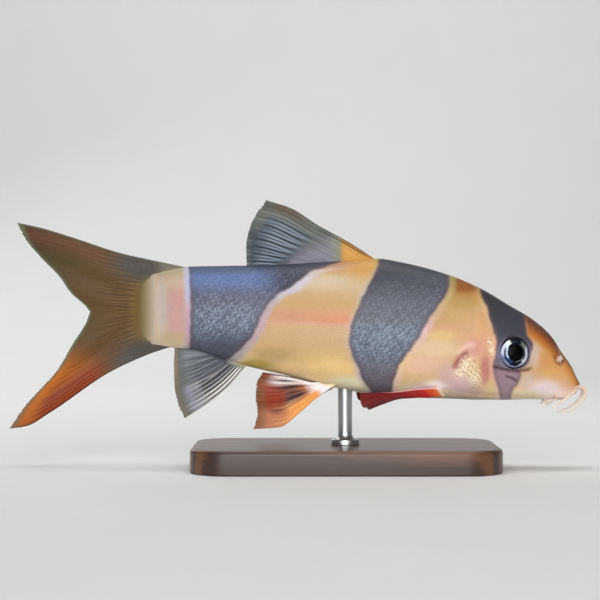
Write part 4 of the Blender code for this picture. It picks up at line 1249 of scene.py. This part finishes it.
def fin_piece(name, fin, rays, slot, material, colours, rows, seed, ripple, parts=(0.30, 0.62), flare=0.9,
              flare_length=1.4, sink=1.0, notch=0.02, skin_tone=1.0):
    """A thin closed fin with branching rays, a scalloped far edge and a root set in the skin.

    colours(across, out, ray, line, place) gives the paint and how opaque it is. The flare at the root, its
    length, the ripple and the depth that the root sinks are in millimetres.
    """
    columns = int(COLUMNS_PER_RAY / rays[1].max())
    rng = np.random.default_rng(SEED + seed)
    across = np.linspace(0, 1, columns + 1)
    u, v = np.meshgrid(across, np.linspace(0, 1, rows + 1) ** 1.05, indexing="ij")
    far_ray = ray_height(across, np.ones(len(across)), rays, parts)
    worn = np.interp(across, np.linspace(0, 1, WORN_PLACES), rng.uniform(0, 1, WORN_PLACES)) ** 2
    reach = 1 - notch * (1 - far_ray) * (0.5 + worn) * span(across, 0, 0.08, 1, 0.08)
    out = v * (1 - (1 - reach[:, None]) * rises(v, 0.7, 0.3))
    middle = fin(u, out)
    ray = ray_height(u, out, rays, parts)
    line = between_rays(u, rays)
    along_u, along_v = np.gradient(middle, axis=0), np.gradient(middle, axis=1)
    face = unit(np.cross(along_v, along_u))
    face[:, 0] = face[:, 1]
    steps = np.linalg.norm(np.diff(middle, axis=1), axis=-1)
    far = np.concatenate([np.zeros((len(across), 1)), np.cumsum(steps, axis=1)], axis=1) / MM
    wave = np.sin(u * 9 + 3.9 * v + seed) * smooth(out / 0.8) * ripple * span(u, 0, 0.12, 1, 0.12)
    middle = middle + face * wave[..., None] * MM
    joints = smooth((np.cos(2 * math.pi * far / RAY_JOINT) - 0.80) / 0.2) * rises(far, 3, 2)
    half = FIN_THICKNESS / 2 + RAY_RIDGE / 2 * ray * (1 - 0.62 * out)
    half = half + flare / 2 * bump(far, flare_length) - 0.02 * joints * ray
    half[:, -1] *= 0.5
    body_colour, _ = markings(middle[:, 0])
    # one more row of points takes the root down into the skin
    down = unit(middle[:, :1] - middle[:, 2:3])
    middle, half, face, u, out, ray, line, joints, far = [
        np.concatenate([part[:, :1], part], axis=1)
        for part in (middle, half, face, u, out, ray, line, joints, far)
    ]
    middle[:, :1] += down * sink * MM
    half[:, 0] *= 0.7
    paint, opacity = colours(u, out, ray, line, middle / MM)
    paint = paint * (1 - 0.30 * (joints * ray)[..., None])
    paint = painted(paint, (body_colour[:, None], skin_tone * falls(far, ROOT_BLEND, ROOT_BLEND)))
    index = np.arange(u.size).reshape(u.shape)
    corners = (index[:-1, :-1], index[1:, :-1], index[1:, 1:], index[:-1, 1:])
    top = np.stack(corners, axis=-1).reshape(-1, 4)
    rim = np.concatenate([index[:-1, 0], index[-1, :-1], index[:0:-1, -1], index[0, :0:-1]])
    after = np.roll(rim, -1)
    rim_faces = np.stack([rim, rim + u.size, after + u.size, after], axis=-1)
    offset = face * half[..., None] * MM
    points = np.concatenate([(middle + offset).reshape(-1, 3), (middle - offset).reshape(-1, 3)])
    along_map = np.broadcast_to(np.linspace(0.02, 0.98, u.shape[1]), u.shape)
    uv = np.stack([0.02 + 0.46 * u, along_map], axis=-1).reshape(-1, 2)
    piece = mesh_piece(
        name, bent(points), [np.concatenate([top, top[:, ::-1] + u.size, rim_faces])], material, slot,
        paint=np.tile(paint.reshape(-1, 3), (2, 1)),
        floats={"clear": np.tile(1 - opacity.ravel(), 2)},
        uv=np.concatenate([uv, uv + np.array([0.5, 0.0])]),
    )
    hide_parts(name.replace("rays", "fin"))


def streaks(across, out, count, seed=0.0):
    """Fine streaks along the rays, from 0 to 1."""
    wave = np.sin(across * count + 2.2 * np.sin(across * count * 0.37 + seed) + out * 2.0)
    return smooth(0.5 + 0.5 * wave)


def dorsal_colours(u, v, ray, line, place):
    """Slate, with silver blue rays between black lines behind, and olive in front over an orange root."""
    x = place[..., 0]
    fine = streaks(u, v, 150.0)
    slate = (
        (0.0, (88, 86, 98)), (0.25, (94, 96, 107)), (0.6, (70, 79, 91)), (0.9, (62, 69, 76)),
        (1.0, (84, 88, 86)),
    )
    blue = rises(u, 0.13, 0.15) * span(v, 0.34, 0.2, 0.93, 0.07)
    olive = falls(u, 0.55, 0.25) * rises(v, 0.10, 0.15) * (1 - blue)
    lilac = span(x, -3.0, 2.0, 9.5, 2.0) * falls(v, 0.47, 0.25)
    front = rises(x, 8.4, 1.9)
    lead = span(v, 0.02, 0.1, 0.57, 0.15)
    edge = rises(v, 0.88, 0.12)
    colour = painted(
        blend_by(slate, v),
        ((136, 151, 168), blue * (0.25 + 0.75 * ray) * (0.45 + 0.55 * fine)),
        ((164, 178, 194), 0.6 * blue * ray * bump(v - 0.62, 0.14)),
        ((62, 70, 80), 0.5 * rises(v, 0.72, 0.14) * rises(u, 0.2, 0.2)),
        ((14, 20, 30), 0.95 * line * blue),
        ((44, 54, 66), (1 - ray) * (1 - line) * 0.4 * blue),
        ((106, 110, 102), 0.85 * olive),
        ((146, 150, 138), 0.6 * olive * fine * (0.4 + 0.6 * ray)),
        ((62, 66, 66), 0.6 * olive * np.maximum(line, 0.5 * (1 - ray))),
        ((150, 144, 162), 0.85 * lilac * (0.5 + 0.5 * fine)),
        ((150, 156, 124), 0.55 * bump(x - 8.4, 1.2) * falls(v, 0.55, 0.2)),
        ((206, 160, 88), front),
        ((222, 164, 72), 0.6 * front * bump(u - 0.25, 0.2)),
        ((186, 128, 62), 0.45 * front * np.maximum(line, 0.6 * (1 - fine))),
        ((150, 92, 38), 0.7 * front * falls(u, 0.10, 0.08)),
        ((104, 84, 68), 0.75 * bump(u - 0.05, 0.07) * span(v, 0.55, 0.2, 0.97, 0.1)),
        ((16, 16, 16), 0.95 * lead * np.maximum(bump(u, 0.014), bump(u - 0.055, 0.010))),
        ((78, 84, 80), 0.7 * edge * (1 - ray)),
        ((176, 180, 174), 0.6 * edge * ray * rises(u, 0.5, 0.2) * fine),
    )
    return colour, 0.99 - 0.16 * rises(v, 0.84, 0.16) * (1 - 0.6 * ray)


def anal_colours(u, v, ray, line, place):
    """Slate with fine pale rays, and bright white leading rays between dark lines."""
    fine = streaks(u, v, 150.0, 1.0)
    slate = (
        (0.0, (86, 90, 104)), (0.2, (62, 68, 80)), (0.6, (62, 66, 74)), (0.85, (104, 108, 104)),
        (1.0, (126, 118, 98)),
    )
    inner = span(v, 0.05, 0.1, 0.90, 0.2)
    front = falls(u, 0.44, 0.10)
    white = front * span(v, 0.04, 0.06, 0.80, 0.2)
    lead = falls(u, 0.15, 0.04) * span(v, 0.04, 0.06, 0.95, 0.2)
    merged = front * span(v, 0.56, 0.12, 0.92, 0.16)
    upper = bump(u - 0.88, 0.09) * span(v, 0.05, 0.1, 0.85, 0.2)
    rear = rises(v, 0.86, 0.14) * rises(u, 0.4, 0.3)
    colour = painted(
        blend_by(slate, v),
        ((140, 144, 150), 0.6 * inner * ray),
        ((150, 154, 158), 0.45 * inner * fine * rises(u, 0.3, 0.1)),
        ((28, 32, 40), 0.6 * inner * np.maximum(line, 0.5 * (1 - ray)) * (1 - fine)),
        ((250, 246, 238), white * np.minimum(1.25 * ray, 1) * (1 - 0.75 * rises(u, 0.14, 0.10))),
        ((60, 58, 64), 0.75 * white * np.maximum(line, 1 - ray)),
        ((136, 136, 140), 0.85 * lead),
        ((252, 248, 240), 0.95 * lead * np.minimum(1.4 * ray, 1)),
        ((66, 64, 70), 0.75 * lead * np.maximum(bump(u - 0.031, 0.009), bump(u - 0.094, 0.012))),
        ((176, 178, 184), 0.65 * merged * (0.5 + 0.5 * ray)),
        ((150, 150, 172), 0.6 * merged * rises(v, 0.72, 0.1)),
        ((196, 206, 176), 0.8 * bump(v - 0.01, 0.05) * front),
        ((146, 148, 158), 0.7 * upper * (0.4 + 0.6 * fine)),
        ((30, 32, 38), 0.8 * rises(u, 0.965, 0.02)),
        ((132, 108, 84), 0.6 * rear),
        ((196, 178, 160), 0.5 * rear * ray),
        ((90, 88, 90), 0.6 * bump(u, 0.006) * falls(v, 0.8, 0.2)),
    )
    return colour, 0.99 - 0.20 * rises(v, 0.80, 0.2) * (1 - 0.6 * ray)


def pelvic_colours(u, v, ray, line, place):
    """White at the root, orange in front, brick red behind, with dark patches in the upper half."""
    fine = streaks(u, v, 110.0, 2.0)
    ground = (
        (0.0, (255, 250, 255)), (0.17, (252, 240, 242)), (0.31, (200, 122, 84)), (0.5, (138, 92, 78)),
        (0.75, (144, 70, 44)), (0.88, (134, 74, 42)), (1.0, (112, 76, 44)),
    )
    # dark patches: middle across and out, reach across and out, strength
    spots = (
        (0.50, 0.46, 0.13, 0.17, 1.0), (0.75, 0.52, 0.07, 0.26, 0.9),
        (0.91, 0.60, 0.03, 0.22, 1.0), (0.30, 0.76, 0.05, 0.10, 0.7),
    )
    dark = np.max([strength * patch(u, v, *spot) for *spot, strength in spots], axis=0)
    front = falls(u, 0.44, 0.18)
    glow = front * rises(v, 0.10, 0.1)
    pale = span(v, 0.14, 0.1, 0.88, 0.3) * falls(u, 0.65, 0.2)
    red = bump(u - 0.55, 0.24) * span(v, 0.56, 0.12, 0.93, 0.12)
    white = rises(u, 0.76, 0.1) * falls(v, 0.92, 0.26) * (0.70 + 0.30 * ray)
    colour = painted(
        blend_by(ground, v),
        ((246, 162, 82), glow * falls(v, 0.92, 0.4)),
        ((208, 134, 98), 0.8 * glow * span(v, 0.5, 0.25, 0.97, 0.12)),
        ((252, 208, 150), 0.8 * ray * pale * fine),
        ((62, 40, 50), np.minimum(1, 1.3 * dark) * (0.55 + 0.45 * (1 - ray))),
        ((146, 46, 24), 0.85 * red),
        ((206, 108, 78), 0.45 * ray * fine * rises(v, 0.3, 0.2) * rises(u, 0.4, 0.15)),
        ((255, 252, 250), 0.97 * white * (1 - dark)),
        ((168, 116, 80), 0.6 * front * rises(v, 0.84, 0.1)),
        ((116, 66, 36), 0.6 * bump(u, 0.012)),
    )
    return colour, 0.99 - 0.15 * rises(v, 0.86, 0.14) * (1 - 0.6 * ray)


def pectoral_colours(u, v, ray, line, place):
    """Deep red, orange at the root and nearly black along its lower and far edges."""
    fine = streaks(u, v, 90.0, 3.0)
    ground = (
        (0.0, (232, 160, 110)), (0.08, (224, 100, 50)), (0.22, (196, 44, 40)), (0.5, (136, 16, 26)),
        (0.8, (112, 8, 12)), (1.0, (120, 24, 18)),
    )
    colour = painted(
        blend_by(ground, v),
        ((190, 50, 52), 0.3 * ray * fine * falls(v, 0.7, 0.3)),
        ((72, 6, 10), 0.5 * np.maximum(line, 0.6 * (1 - ray)) * rises(v, 0.15, 0.2)),
        ((66, 4, 8), 0.7 * falls(u, 0.35, 0.35) * rises(v, 0.25, 0.3)),
        ((246, 196, 194), 0.8 * rises(u, 0.82, 0.14) * falls(v, 0.8, 0.3)),
    )
    return colour, 0.99 - 0.10 * rises(v, 0.88, 0.12)


def tail_colours(u, v, ray, line, place):
    """Brown at the base and in the upper lobe, and orange to red along the lower one."""
    x, z = place[..., 0], place[..., 2]
    upper_lobe = z > TAIL_MIDDLE_Z / MM
    fine = streaks(u, v, 130.0, 4.0)
    brown = (
        (-60.0, (56, 38, 24)), (-54.0, (84, 62, 42)), (-46.0, (96, 74, 46)), (-38.0, (98, 72, 42)),
        (-33.0, (112, 90, 50)), (-31.0, (134, 116, 76)),
    )
    orange = (
        (-61.0, (176, 100, 54)), (-55.0, (204, 118, 46)), (-48.0, (188, 108, 44)), (-42.0, (128, 80, 44)),
    )
    low = falls(z, 27.5, 9.0) * falls(x, -37.0, 8.0)
    rusty = low * falls(u, 0.50, 0.30) * (1 - 0.7 * rises(v, 0.80, 0.14))
    strong = np.maximum(0.25 + 0.75 * rises(x, -44.0, 8.0), 1.15 * low * (1 - 0.45 * rusty))
    strong = 0.6 * strong * span(v, 0.04, 0.06, 0.95, 0.1)
    light = painted(linear((136, 104, 62)), ((204, 118, 46), low))
    deep = painted(linear((62, 40, 24)), ((84, 30, 16), low))
    gold = rises(x, -36.5, 3.0) * rises(u, 0.30, 0.2)
    grey = bump(u - 0.05, np.where(upper_lobe, 0.30, 0.33)) * rises(x, -42.0, 8.0)
    speckled = grey * (0.5 + 0.5 * np.sin(x * 5.0 + 2 * np.sin(z * 4.0)) * np.sin(z * 6.0))
    beside_stalk = rises(x, -35.5, 1.5) * falls(np.abs(z - TAIL_MIDDLE_Z / MM), 7.0, 3.0)
    lead = np.where(upper_lobe[..., None], linear((118, 122, 104)), linear((50, 26, 18)))
    outline = rises(v, 0.945, 0.04)
    colour = painted(
        blend_by(brown, x),
        ((74, 76, 44), 0.5 * bump(z - 43.5, 2.2) * falls(x, -44, 4)),
        ((116, 76, 60), 0.5 * bump(u - 0.10, 0.09) * rises(v, 0.25, 0.2) * upper_lobe),
        (blend_by(orange, x), low),
        ((140, 56, 32), 0.95 * rusty),
        (light, ray * strong * (0.4 + 0.6 * fine)),
        (deep, np.maximum(line, 0.7 * (1 - ray)) * strong),
        ((146, 122, 68), 0.5 * gold * (0.4 + 0.6 * ray)),
        ((84, 82, 78), 0.9 * np.minimum(1, 1.3 * grey)),
        ((56, 54, 52), 0.35 * speckled),
        ((134, 124, 108), 0.75 * rises(x, -31.0, 4.0) * upper_lobe),
        (blend_by(STALK_END_COLOURS, x), 0.8 * beside_stalk),
        (lead, 0.8 * bump(u, 0.014)),
        ((104, 116, 84), 0.8 * outline * (1 - 0.3 * low)),
    )
    return colour, 0.99 - 0.18 * outline


# Barbels

# The root as (x, z) on the skin, then the way there, the bend and the tip as (x, y, z)
BARBELS = {
    "rostral_inner": ((58.9, 17.1), (61.1, 1.6, 17.1), (60.5, 2.8, 13.2), (55.0, 3.2, 11.7)),
    "rostral_outer": ((58.0, 17.0), (58.4, 3.4, 16.5), (55.6, 4.2, 14.9), (52.8, 4.4, 12.9)),
    "maxillary": ((53.6, 15.3), (54.0, 4.9, 14.8), (53.0, 5.1, 14.3), (51.6, 4.9, 14.4)),
    "mandibular": ((51.8, 14.7), (52.0, 2.3, 13.9), (51.7, 2.4, 13.6), (51.1, 2.3, 13.5)),
}
BARBEL_COLOURS = (
    (0.0, (222, 192, 178)), (0.15, (226, 196, 176)), (0.6, (234, 212, 190)), (1.0, (238, 222, 206)),
)
BARBEL_RINGS, BARBEL_SIDES = 64, 16
BARBEL_ROOT_RADIUS = 0.40
BARBEL_TIP_RADIUS = 0.17
# The short barbels below the jaw are thinner, by this share
SHORT_BARBELS = ("maxillary", "mandibular")
SHORT_BARBEL_SHARE = 0.70


def make_barbel(kind, side, word, material):
    """A tapering feeler that grows out of the skin, faintly ringed and with a rounded tip."""
    (x, z), *bends = BARBELS[kind]
    point, out = side_point(x * MM, z * MM, side)
    towards, bend, end = placed(bends, side)
    t = np.linspace(0, 1, BARBEL_RINGS)[:, None]
    s = 1 - t
    line = (point + out * GAP) * s**3 + towards * (3 * s * s * t) + bend * (3 * s * t * t) + end * t**3
    line = np.concatenate([[point - out * 0.7 * MM, point - out * 0.2 * MM], line])
    t = np.concatenate([[0.0, 0.0], t[:, 0]])
    radius = BARBEL_ROOT_RADIUS + (BARBEL_TIP_RADIUS - BARBEL_ROOT_RADIUS) * t**0.9
    radius = radius * (1 + 0.035 * np.sin(t * 95) * (1 - t)) + 0.08 * bump(t, 0.05)
    radius = radius * np.sqrt(np.maximum(1 - np.maximum((t - 0.975) / 0.03, 0) ** 2, 0.05))
    if kind in SHORT_BARBELS:
        radius = radius * SHORT_BARBEL_SHARE
    turn = full_turn(BARBEL_SIDES)
    aside = np.array([0.0, 1.0, 0.0])
    rings = []
    for middle, along, reach in zip(line, unit(np.gradient(line, axis=0)), radius):
        aside = unit(aside - along * (aside @ along))
        ring = np.outer(np.cos(turn), aside) + np.outer(np.sin(turn), np.cross(along, aside))
        rings.append(middle + ring * reach * MM)
    paint = blend_by(BARBEL_COLOURS, np.concatenate([[0.0, 1.0], np.repeat(t, BARBEL_SIDES)]))
    piece = ring_piece(
        f"feeler_{kind}_{word}", bent(rings), bent(line[[0, -1]]), material, "barbel",
        paint=paint, uv=ring_map(len(line), BARBEL_SIDES, 0.1, 0.9),
    )
    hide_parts(f"barbel_{kind}_{word}")


# Materials


def opaque(rgb):
    return (*linear(rgb), 1.0)


class Look:
    """A material in the making. Each input of a node is a number or another node's output."""

    def __init__(self, name):
        self.material = bpy.data.materials.new(name)
        self.material.use_nodes = True
        self.tree = self.material.node_tree

    def feed(self, node, inputs):
        for key, value in inputs.items():
            if isinstance(value, bpy.types.NodeSocket):
                self.tree.links.new(value, node.inputs[key])
            else:
                node.inputs[key].default_value = value

    def add(self, kind, inputs, output, **settings):
        """One output of a new node."""
        node = self.tree.nodes.new("ShaderNode" + kind)
        for key, value in settings.items():
            setattr(node, key, value)
        self.feed(node, inputs)
        return node.outputs[output]

    def attribute(self, name, output="Color"):
        return self.add("Attribute", {}, output, attribute_name=name)

    def places(self, scale=(1.0, 1.0, 1.0)):
        return self.add("Mapping", {"Vector": self.add("TexCoord", {}, "Object"), "Scale": scale}, "Vector")

    def maths(self, operation, a, b):
        return self.add("Math", {0: a, 1: b}, 0, operation=operation)

    def scaled(self, value, factor, start):
        """A start plus a factor times a value."""
        return self.maths("ADD", self.maths("MULTIPLY", value, factor), start)

    def mixed(self, share, a, b, blend="MIX"):
        return self.add("Mix", {0: share, 6: a, 7: b}, 2, data_type="RGBA", blend_type=blend)

    def noise(self, places, scale, detail=2.0, roughness=0.5, distortion=0.0):
        inputs = {"Vector": places, "Scale": scale, "Detail": detail, "Roughness": roughness}
        return self.add("TexNoise", {**inputs, "Distortion": distortion}, "Fac")

    def ramp(self, value, low, high):
        """0 below one value and 1 above another, smooth between."""
        inputs = {"Value": value, "From Min": low, "From Max": high}
        return self.add("MapRange", inputs, "Result", interpolation_type="SMOOTHSTEP")

    def bumps(self, height, strength, distance):
        return self.add("Bump", {"Height": height, "Strength": strength, "Distance": distance}, "Normal")

    def made(self, inputs):
        """The material, once its surface has its inputs."""
        self.feed(self.tree.nodes["Principled BSDF"], inputs)
        return self.material


def skin_material(name, glint_share):
    look = Look(name)
    silver = look.attribute("silver", "Fac")
    broad = look.noise(look.places(), 260.0, 3.0)
    fine = look.noise(look.places(), 2600.0)
    light = look.maths("ADD", look.scaled(broad, 0.16, 0.92), look.scaled(fine, 0.16, -0.08))
    colour = look.mixed(1.0, look.attribute("paint"), light, "MULTIPLY")
    # bright silver-white specks on the silvery parts are painted glints
    speck = look.ramp(look.noise(look.places((1.6, 1.0, 0.75)), 2300.0, 2.0, 0.6), 0.45, 0.70)
    shine = look.maths("MULTIPLY", look.maths("MULTIPLY", speck, silver), glint_share)
    return look.made({
        "Base Color": look.mixed(shine, colour, opaque((190, 204, 216))),
        "Roughness": look.scaled(fine, 0.16, 0.36),
        "Metallic": look.maths("MULTIPLY", silver, 0.2),
        "Specular IOR Level": 0.22,
        "Coat Weight": 0.06,
        "Coat Roughness": 0.22,
        "Subsurface Weight": 0.12,
        "Subsurface Radius": (1.0, 0.4, 0.25),
        "Subsurface Scale": 0.0008,
        "Normal": look.bumps(fine, 0.25, 0.00006),
    })


def painted_material(name, grain_scale, contrast, roughness, specular, detail=2.0, relief=True, clear=False):
    """The mesh's own paint with a fine grain, and clear where the mesh says so."""
    look = Look(name)
    grain = look.noise(look.places(), grain_scale, detail)
    light = look.scaled(grain, contrast, 1 - contrast / 2)
    inputs = {
        "Base Color": look.mixed(1.0, look.attribute("paint"), light, "MULTIPLY"),
        "Roughness": roughness,
        "Specular IOR Level": specular,
    }
    if relief:
        inputs["Normal"] = look.bumps(grain, 0.2, 0.00004)
    if clear:
        inputs["Alpha"] = look.maths("SUBTRACT", 1.0, look.attribute("clear", "Fac"))
    return look.made(inputs)


def wood_material():
    look = Look("walnut")
    warp = look.noise(look.places((1.0, 3.0, 3.0)), 40.0, 3.0)
    grain = look.noise(look.places((0.55, 6.0, 6.0)), 120.0, 5.0, 0.6, 0.6)
    waves = {"Scale": 70.0, "Distortion": 9.0, "Detail": 3.0, "Detail Scale": 1.2}
    waves["Vector"] = look.places((0.08, 1.0, 0.5))
    rings = look.add("TexWave", waves, "Fac", bands_direction="Y")
    share = look.maths("ADD", look.maths("MULTIPLY", grain, 0.6), look.maths("MULTIPLY", rings, 0.4))
    colour = look.mixed(look.ramp(share, 0.3, 0.75), opaque((52, 31, 21)), opaque((112, 72, 46)))
    return look.made({
        "Base Color": look.mixed(look.maths("MULTIPLY", warp, 0.35), colour, opaque((70, 40, 26))),
        "Roughness": 0.42,
        "Coat Weight": 0.3,
        "Coat Roughness": 0.2,
        "Normal": look.bumps(grain, 0.25, 0.0001),
    })


def steel_material():
    look = Look("satin_steel")
    streak = look.noise(look.places((1.0, 1.0, 0.03)), 9000.0)
    colour = look.mixed(streak, opaque((176, 178, 182)), opaque((206, 208, 210)))
    return look.made({"Base Color": colour, "Roughness": look.scaled(streak, 0.15, 0.24), "Metallic": 1.0})


def studio_material():
    look = Look("studio_paper")
    soft = look.noise(look.places(), 30.0)
    colour = look.mixed(soft, (0.80, 0.80, 0.79, 1.0), (0.83, 0.83, 0.82, 1.0))
    return look.made({"Base Color": colour, "Roughness": 0.9})


# Stand

BASE_LENGTH, BASE_WIDTH, BASE_HEIGHT = 64.0, 34.0, 5.0
BASE_CORNER, BASE_CORNER_STEPS = 8.0, 14
BASE_EDGE = 0.8
ROD_X = 10.0
ROD_RADIUS, ROD_FILLET, ROD_SIDES = 1.5, 1.0, 48
COLLAR_RADIUS, COLLAR_HEIGHT, COLLAR_EDGE = 3.0, 1.2, 0.2


def stand_piece(name, node, rings, material, slot, sharp_angle, sweep=np.array):
    """A piece of rings in millimetres round the rod's line, closed flat below and above.

    The sweep is what moves its points sideways with the fish. Without one they stay in place.
    """
    rings = np.array(rings) * MM
    ends = [(ROD_X * MM, 0, rings[0, 0, 2]), (ROD_X * MM, 0, rings[-1, 0, 2])]
    piece = ring_piece(name, sweep(rings), sweep(ends), material, slot)
    piece.data.set_sharp_from_angle(angle=math.radians(sharp_angle))
    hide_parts(node)


def make_base(material):
    """A flat plate with round corners, a rounded upper edge and a slightly eased lower one."""
    rows = [(0.25, 0.0), (0.0, 0.25), (0.0, BASE_HEIGHT - BASE_EDGE)]
    for a in quarter_turn(8):
        rows.append((BASE_EDGE * (1 - math.cos(a)), BASE_HEIGHT - BASE_EDGE * (1 - math.sin(a))))
    rows += [(BASE_EDGE + 1.5, BASE_HEIGHT), (BASE_EDGE + 3.5, BASE_HEIGHT)]
    rings = [[] for _ in rows]
    for ring, (inset, z) in zip(rings, rows):
        radius = BASE_CORNER - inset
        for k, (along, aside) in enumerate(((1, 1), (-1, 1), (-1, -1), (1, -1))):
            x = ROD_X + along * (BASE_LENGTH / 2 - BASE_CORNER)
            y = aside * (BASE_WIDTH / 2 - BASE_CORNER)
            for a in quarter_turn(BASE_CORNER_STEPS, 0):
                a += k * math.pi / 2
                ring.append((x + radius * math.cos(a), y + radius * math.sin(a), z))
    stand_piece("stand_base_wood", "stand_base", rings, material, "stand_wood", 30)


def make_rod(material):
    """A round rod with a turned collar at its foot. Its top is set in the belly, whose sweep it takes."""
    foot = BASE_HEIGHT - 0.05
    shoulder = foot + COLLAR_HEIGHT - COLLAR_EDGE
    profile = [(COLLAR_RADIUS - 0.15, foot), (COLLAR_RADIUS, foot + 0.15), (COLLAR_RADIUS, shoulder)]
    for a in quarter_turn(5):
        radius = COLLAR_RADIUS - COLLAR_EDGE * (1 - math.cos(a))
        profile.append((radius, shoulder + COLLAR_EDGE * math.sin(a)))
    for a in quarter_turn(8, 0):
        radius = ROD_RADIUS + ROD_FILLET * (1 - math.sin(a))
        profile.append((radius, foot + COLLAR_HEIGHT + ROD_FILLET * (1 - math.cos(a))))
    profile += [(ROD_RADIUS, foot + 5.0), (ROD_RADIUS, belly_z(ROD_X * MM) / MM + 0.5)]
    turn = full_turn(ROD_SIDES)
    rings = [[(ROD_X + r * math.cos(a), r * math.sin(a), z) for a in turn] for r, z in profile]
    stand_piece("stand_rod_steel", "stand_rod", rings, material, "stand_steel", 40, sweep=bent)


# Studio

# The camera stands where the side view of the markings is drawn from, and looks along +Y
CAMERA_PLACE = (VIEW_X * MM, -VIEW_DISTANCE * MM, VIEW_Z * MM)
CAMERA_LENS, CAMERA_SENSOR = 100.0, 36.0
# The floor's front edge, the place where it starts to rise, its bend, top and half its width, in metres
FLOOR_FRONT, FLOOR_REAR, FLOOR_BEND, BACKDROP_TOP, FLOOR_HALF_WIDTH = -1.2, 0.35, 0.3, 1.6, 1.6
MODEL_MIDDLE = (0.0, 0.0, 0.03)
# Lights: name, place, aim, size, power, colour
LIGHTS = (
    ("key", (0.10, -0.48, 0.24), MODEL_MIDDLE, 0.40, 0.97, (1.0, 0.985, 0.96)),
    ("low_fill", (-0.06, -0.50, 0.04), MODEL_MIDDLE, 0.36, 1.80, (0.99, 0.985, 0.99)),
    ("top", (0.0, 0.02, 0.50), MODEL_MIDDLE, 0.40, 0.15, (1.0, 1.0, 1.0)),
    ("rear", (-0.25, 0.40, 0.30), MODEL_MIDDLE, 0.30, 0.4, (1.0, 1.0, 1.0)),
    ("backdrop", (0.0, 0.08, 0.55), (0.0, 0.65, 0.15), 0.50, 2.15, (1.0, 1.0, 1.0)),
)


def make_studio():
    """A pale floor that curves up into a backdrop, soft lights and the camera at the photo's view."""
    profile = [(FLOOR_FRONT, 0.0), (FLOOR_REAR, 0.0)]
    for a in quarter_turn(24):
        profile.append((FLOOR_REAR + FLOOR_BEND * math.sin(a), FLOOR_BEND - FLOOR_BEND * math.cos(a)))
    profile.append((FLOOR_REAR + FLOOR_BEND, BACKDROP_TOP))
    points = [(x, y, z) for y, z in profile for x in (-FLOOR_HALF_WIDTH, FLOOR_HALF_WIDTH)]
    mesh = bpy.data.meshes.new("studio_floor")
    mesh.from_pydata(points, [], [(i, i + 1, i + 3, i + 2) for i in range(0, len(points) - 2, 2)])
    mesh.shade_smooth()
    mesh.materials.append(studio_material())
    linked("studio_floor", mesh)

    for name, place, aim, size, power, colour in LIGHTS:
        lamp = bpy.data.lights.new(name, "AREA")
        lamp.shape = "DISK"
        lamp.size = size
        lamp.energy = power
        lamp.color = colour
        holder = linked(name, lamp)
        holder.location = place
        holder.rotation_euler = (Vector(aim) - Vector(place)).to_track_quat("-Z", "Y").to_euler()

    scene = bpy.context.scene
    scene.world = bpy.data.worlds.new("studio_air")
    scene.world.use_nodes = True
    background = scene.world.node_tree.nodes["Background"]
    background.inputs["Color"].default_value = (0.86, 0.88, 0.9, 1.0)
    background.inputs["Strength"].default_value = 0.15

    lens = bpy.data.cameras.new("camera")
    lens.lens = CAMERA_LENS
    lens.sensor_width = CAMERA_SENSOR
    lens.clip_start = 0.001
    lens.clip_end = 10.0
    scene.camera = linked("camera", lens)
    scene.camera.location = CAMERA_PLACE
    scene.camera.rotation_euler = (math.pi / 2, 0.0, 0.0)
    scene.view_settings.view_transform = "Standard"


def main():
    skin = skin_material("skin_paint", 0.30)
    scale = skin_material("scale_paint", 0.22)
    fins = painted_material("fin_membrane", 1800.0, 0.24, 0.5, 0.2, clear=True)
    glaze = painted_material("eye_glaze", 2400.0, 0.3, 0.25, 0.06, detail=3.0, relief=False)
    feelers = painted_material("feeler_skin", 2200.0, 0.2, 0.4, 0.3)
    make_skin(skin)
    make_scales(scale)
    for side, word in SIDES:
        make_eye(side, word, glaze)
        for kind in BARBELS:
            make_barbel(kind, side, word, feelers)
        fin_piece(f"pelvic_rays_{word}", pelvic_fin(side), ray_centres(1, 7), "orange_fin", fins,
                  pelvic_colours, rows=90, seed=2, ripple=0.25 * side)
        fin_piece(f"pectoral_rays_{word}", pectoral_fin(side), ray_centres(3, 6), "red_fin", fins,
                  pectoral_colours, rows=90, seed=3, ripple=0.2 * side)
    fin_piece("dorsal_rays", dorsal_fin(), ray_centres(3, 8), "dark_fin", fins,
              dorsal_colours, rows=120, seed=0, ripple=0.35, notch=0.012)
    fin_piece("anal_rays", anal_fin(), ray_centres(5, 6), "dark_fin", fins,
              anal_colours, rows=100, seed=1, ripple=0.25, parts=(0.2, 0.5))
    for fin, word, seed in ((tail_upper(), "upper", 4), (tail_lower(), "lower", 5)):
        fin_piece(f"tail_rays_{word}", fin, ray_centres(5, 8), "orange_fin", fins,
                  tail_colours, rows=130, seed=seed, ripple=0.3, notch=0.008, parts=(0.0, 0.35),
                  flare=1.0, flare_length=2.6, sink=0.6, skin_tone=0.0)
    make_base(wood_material())
    make_rod(steel_material())
    make_studio()


main()
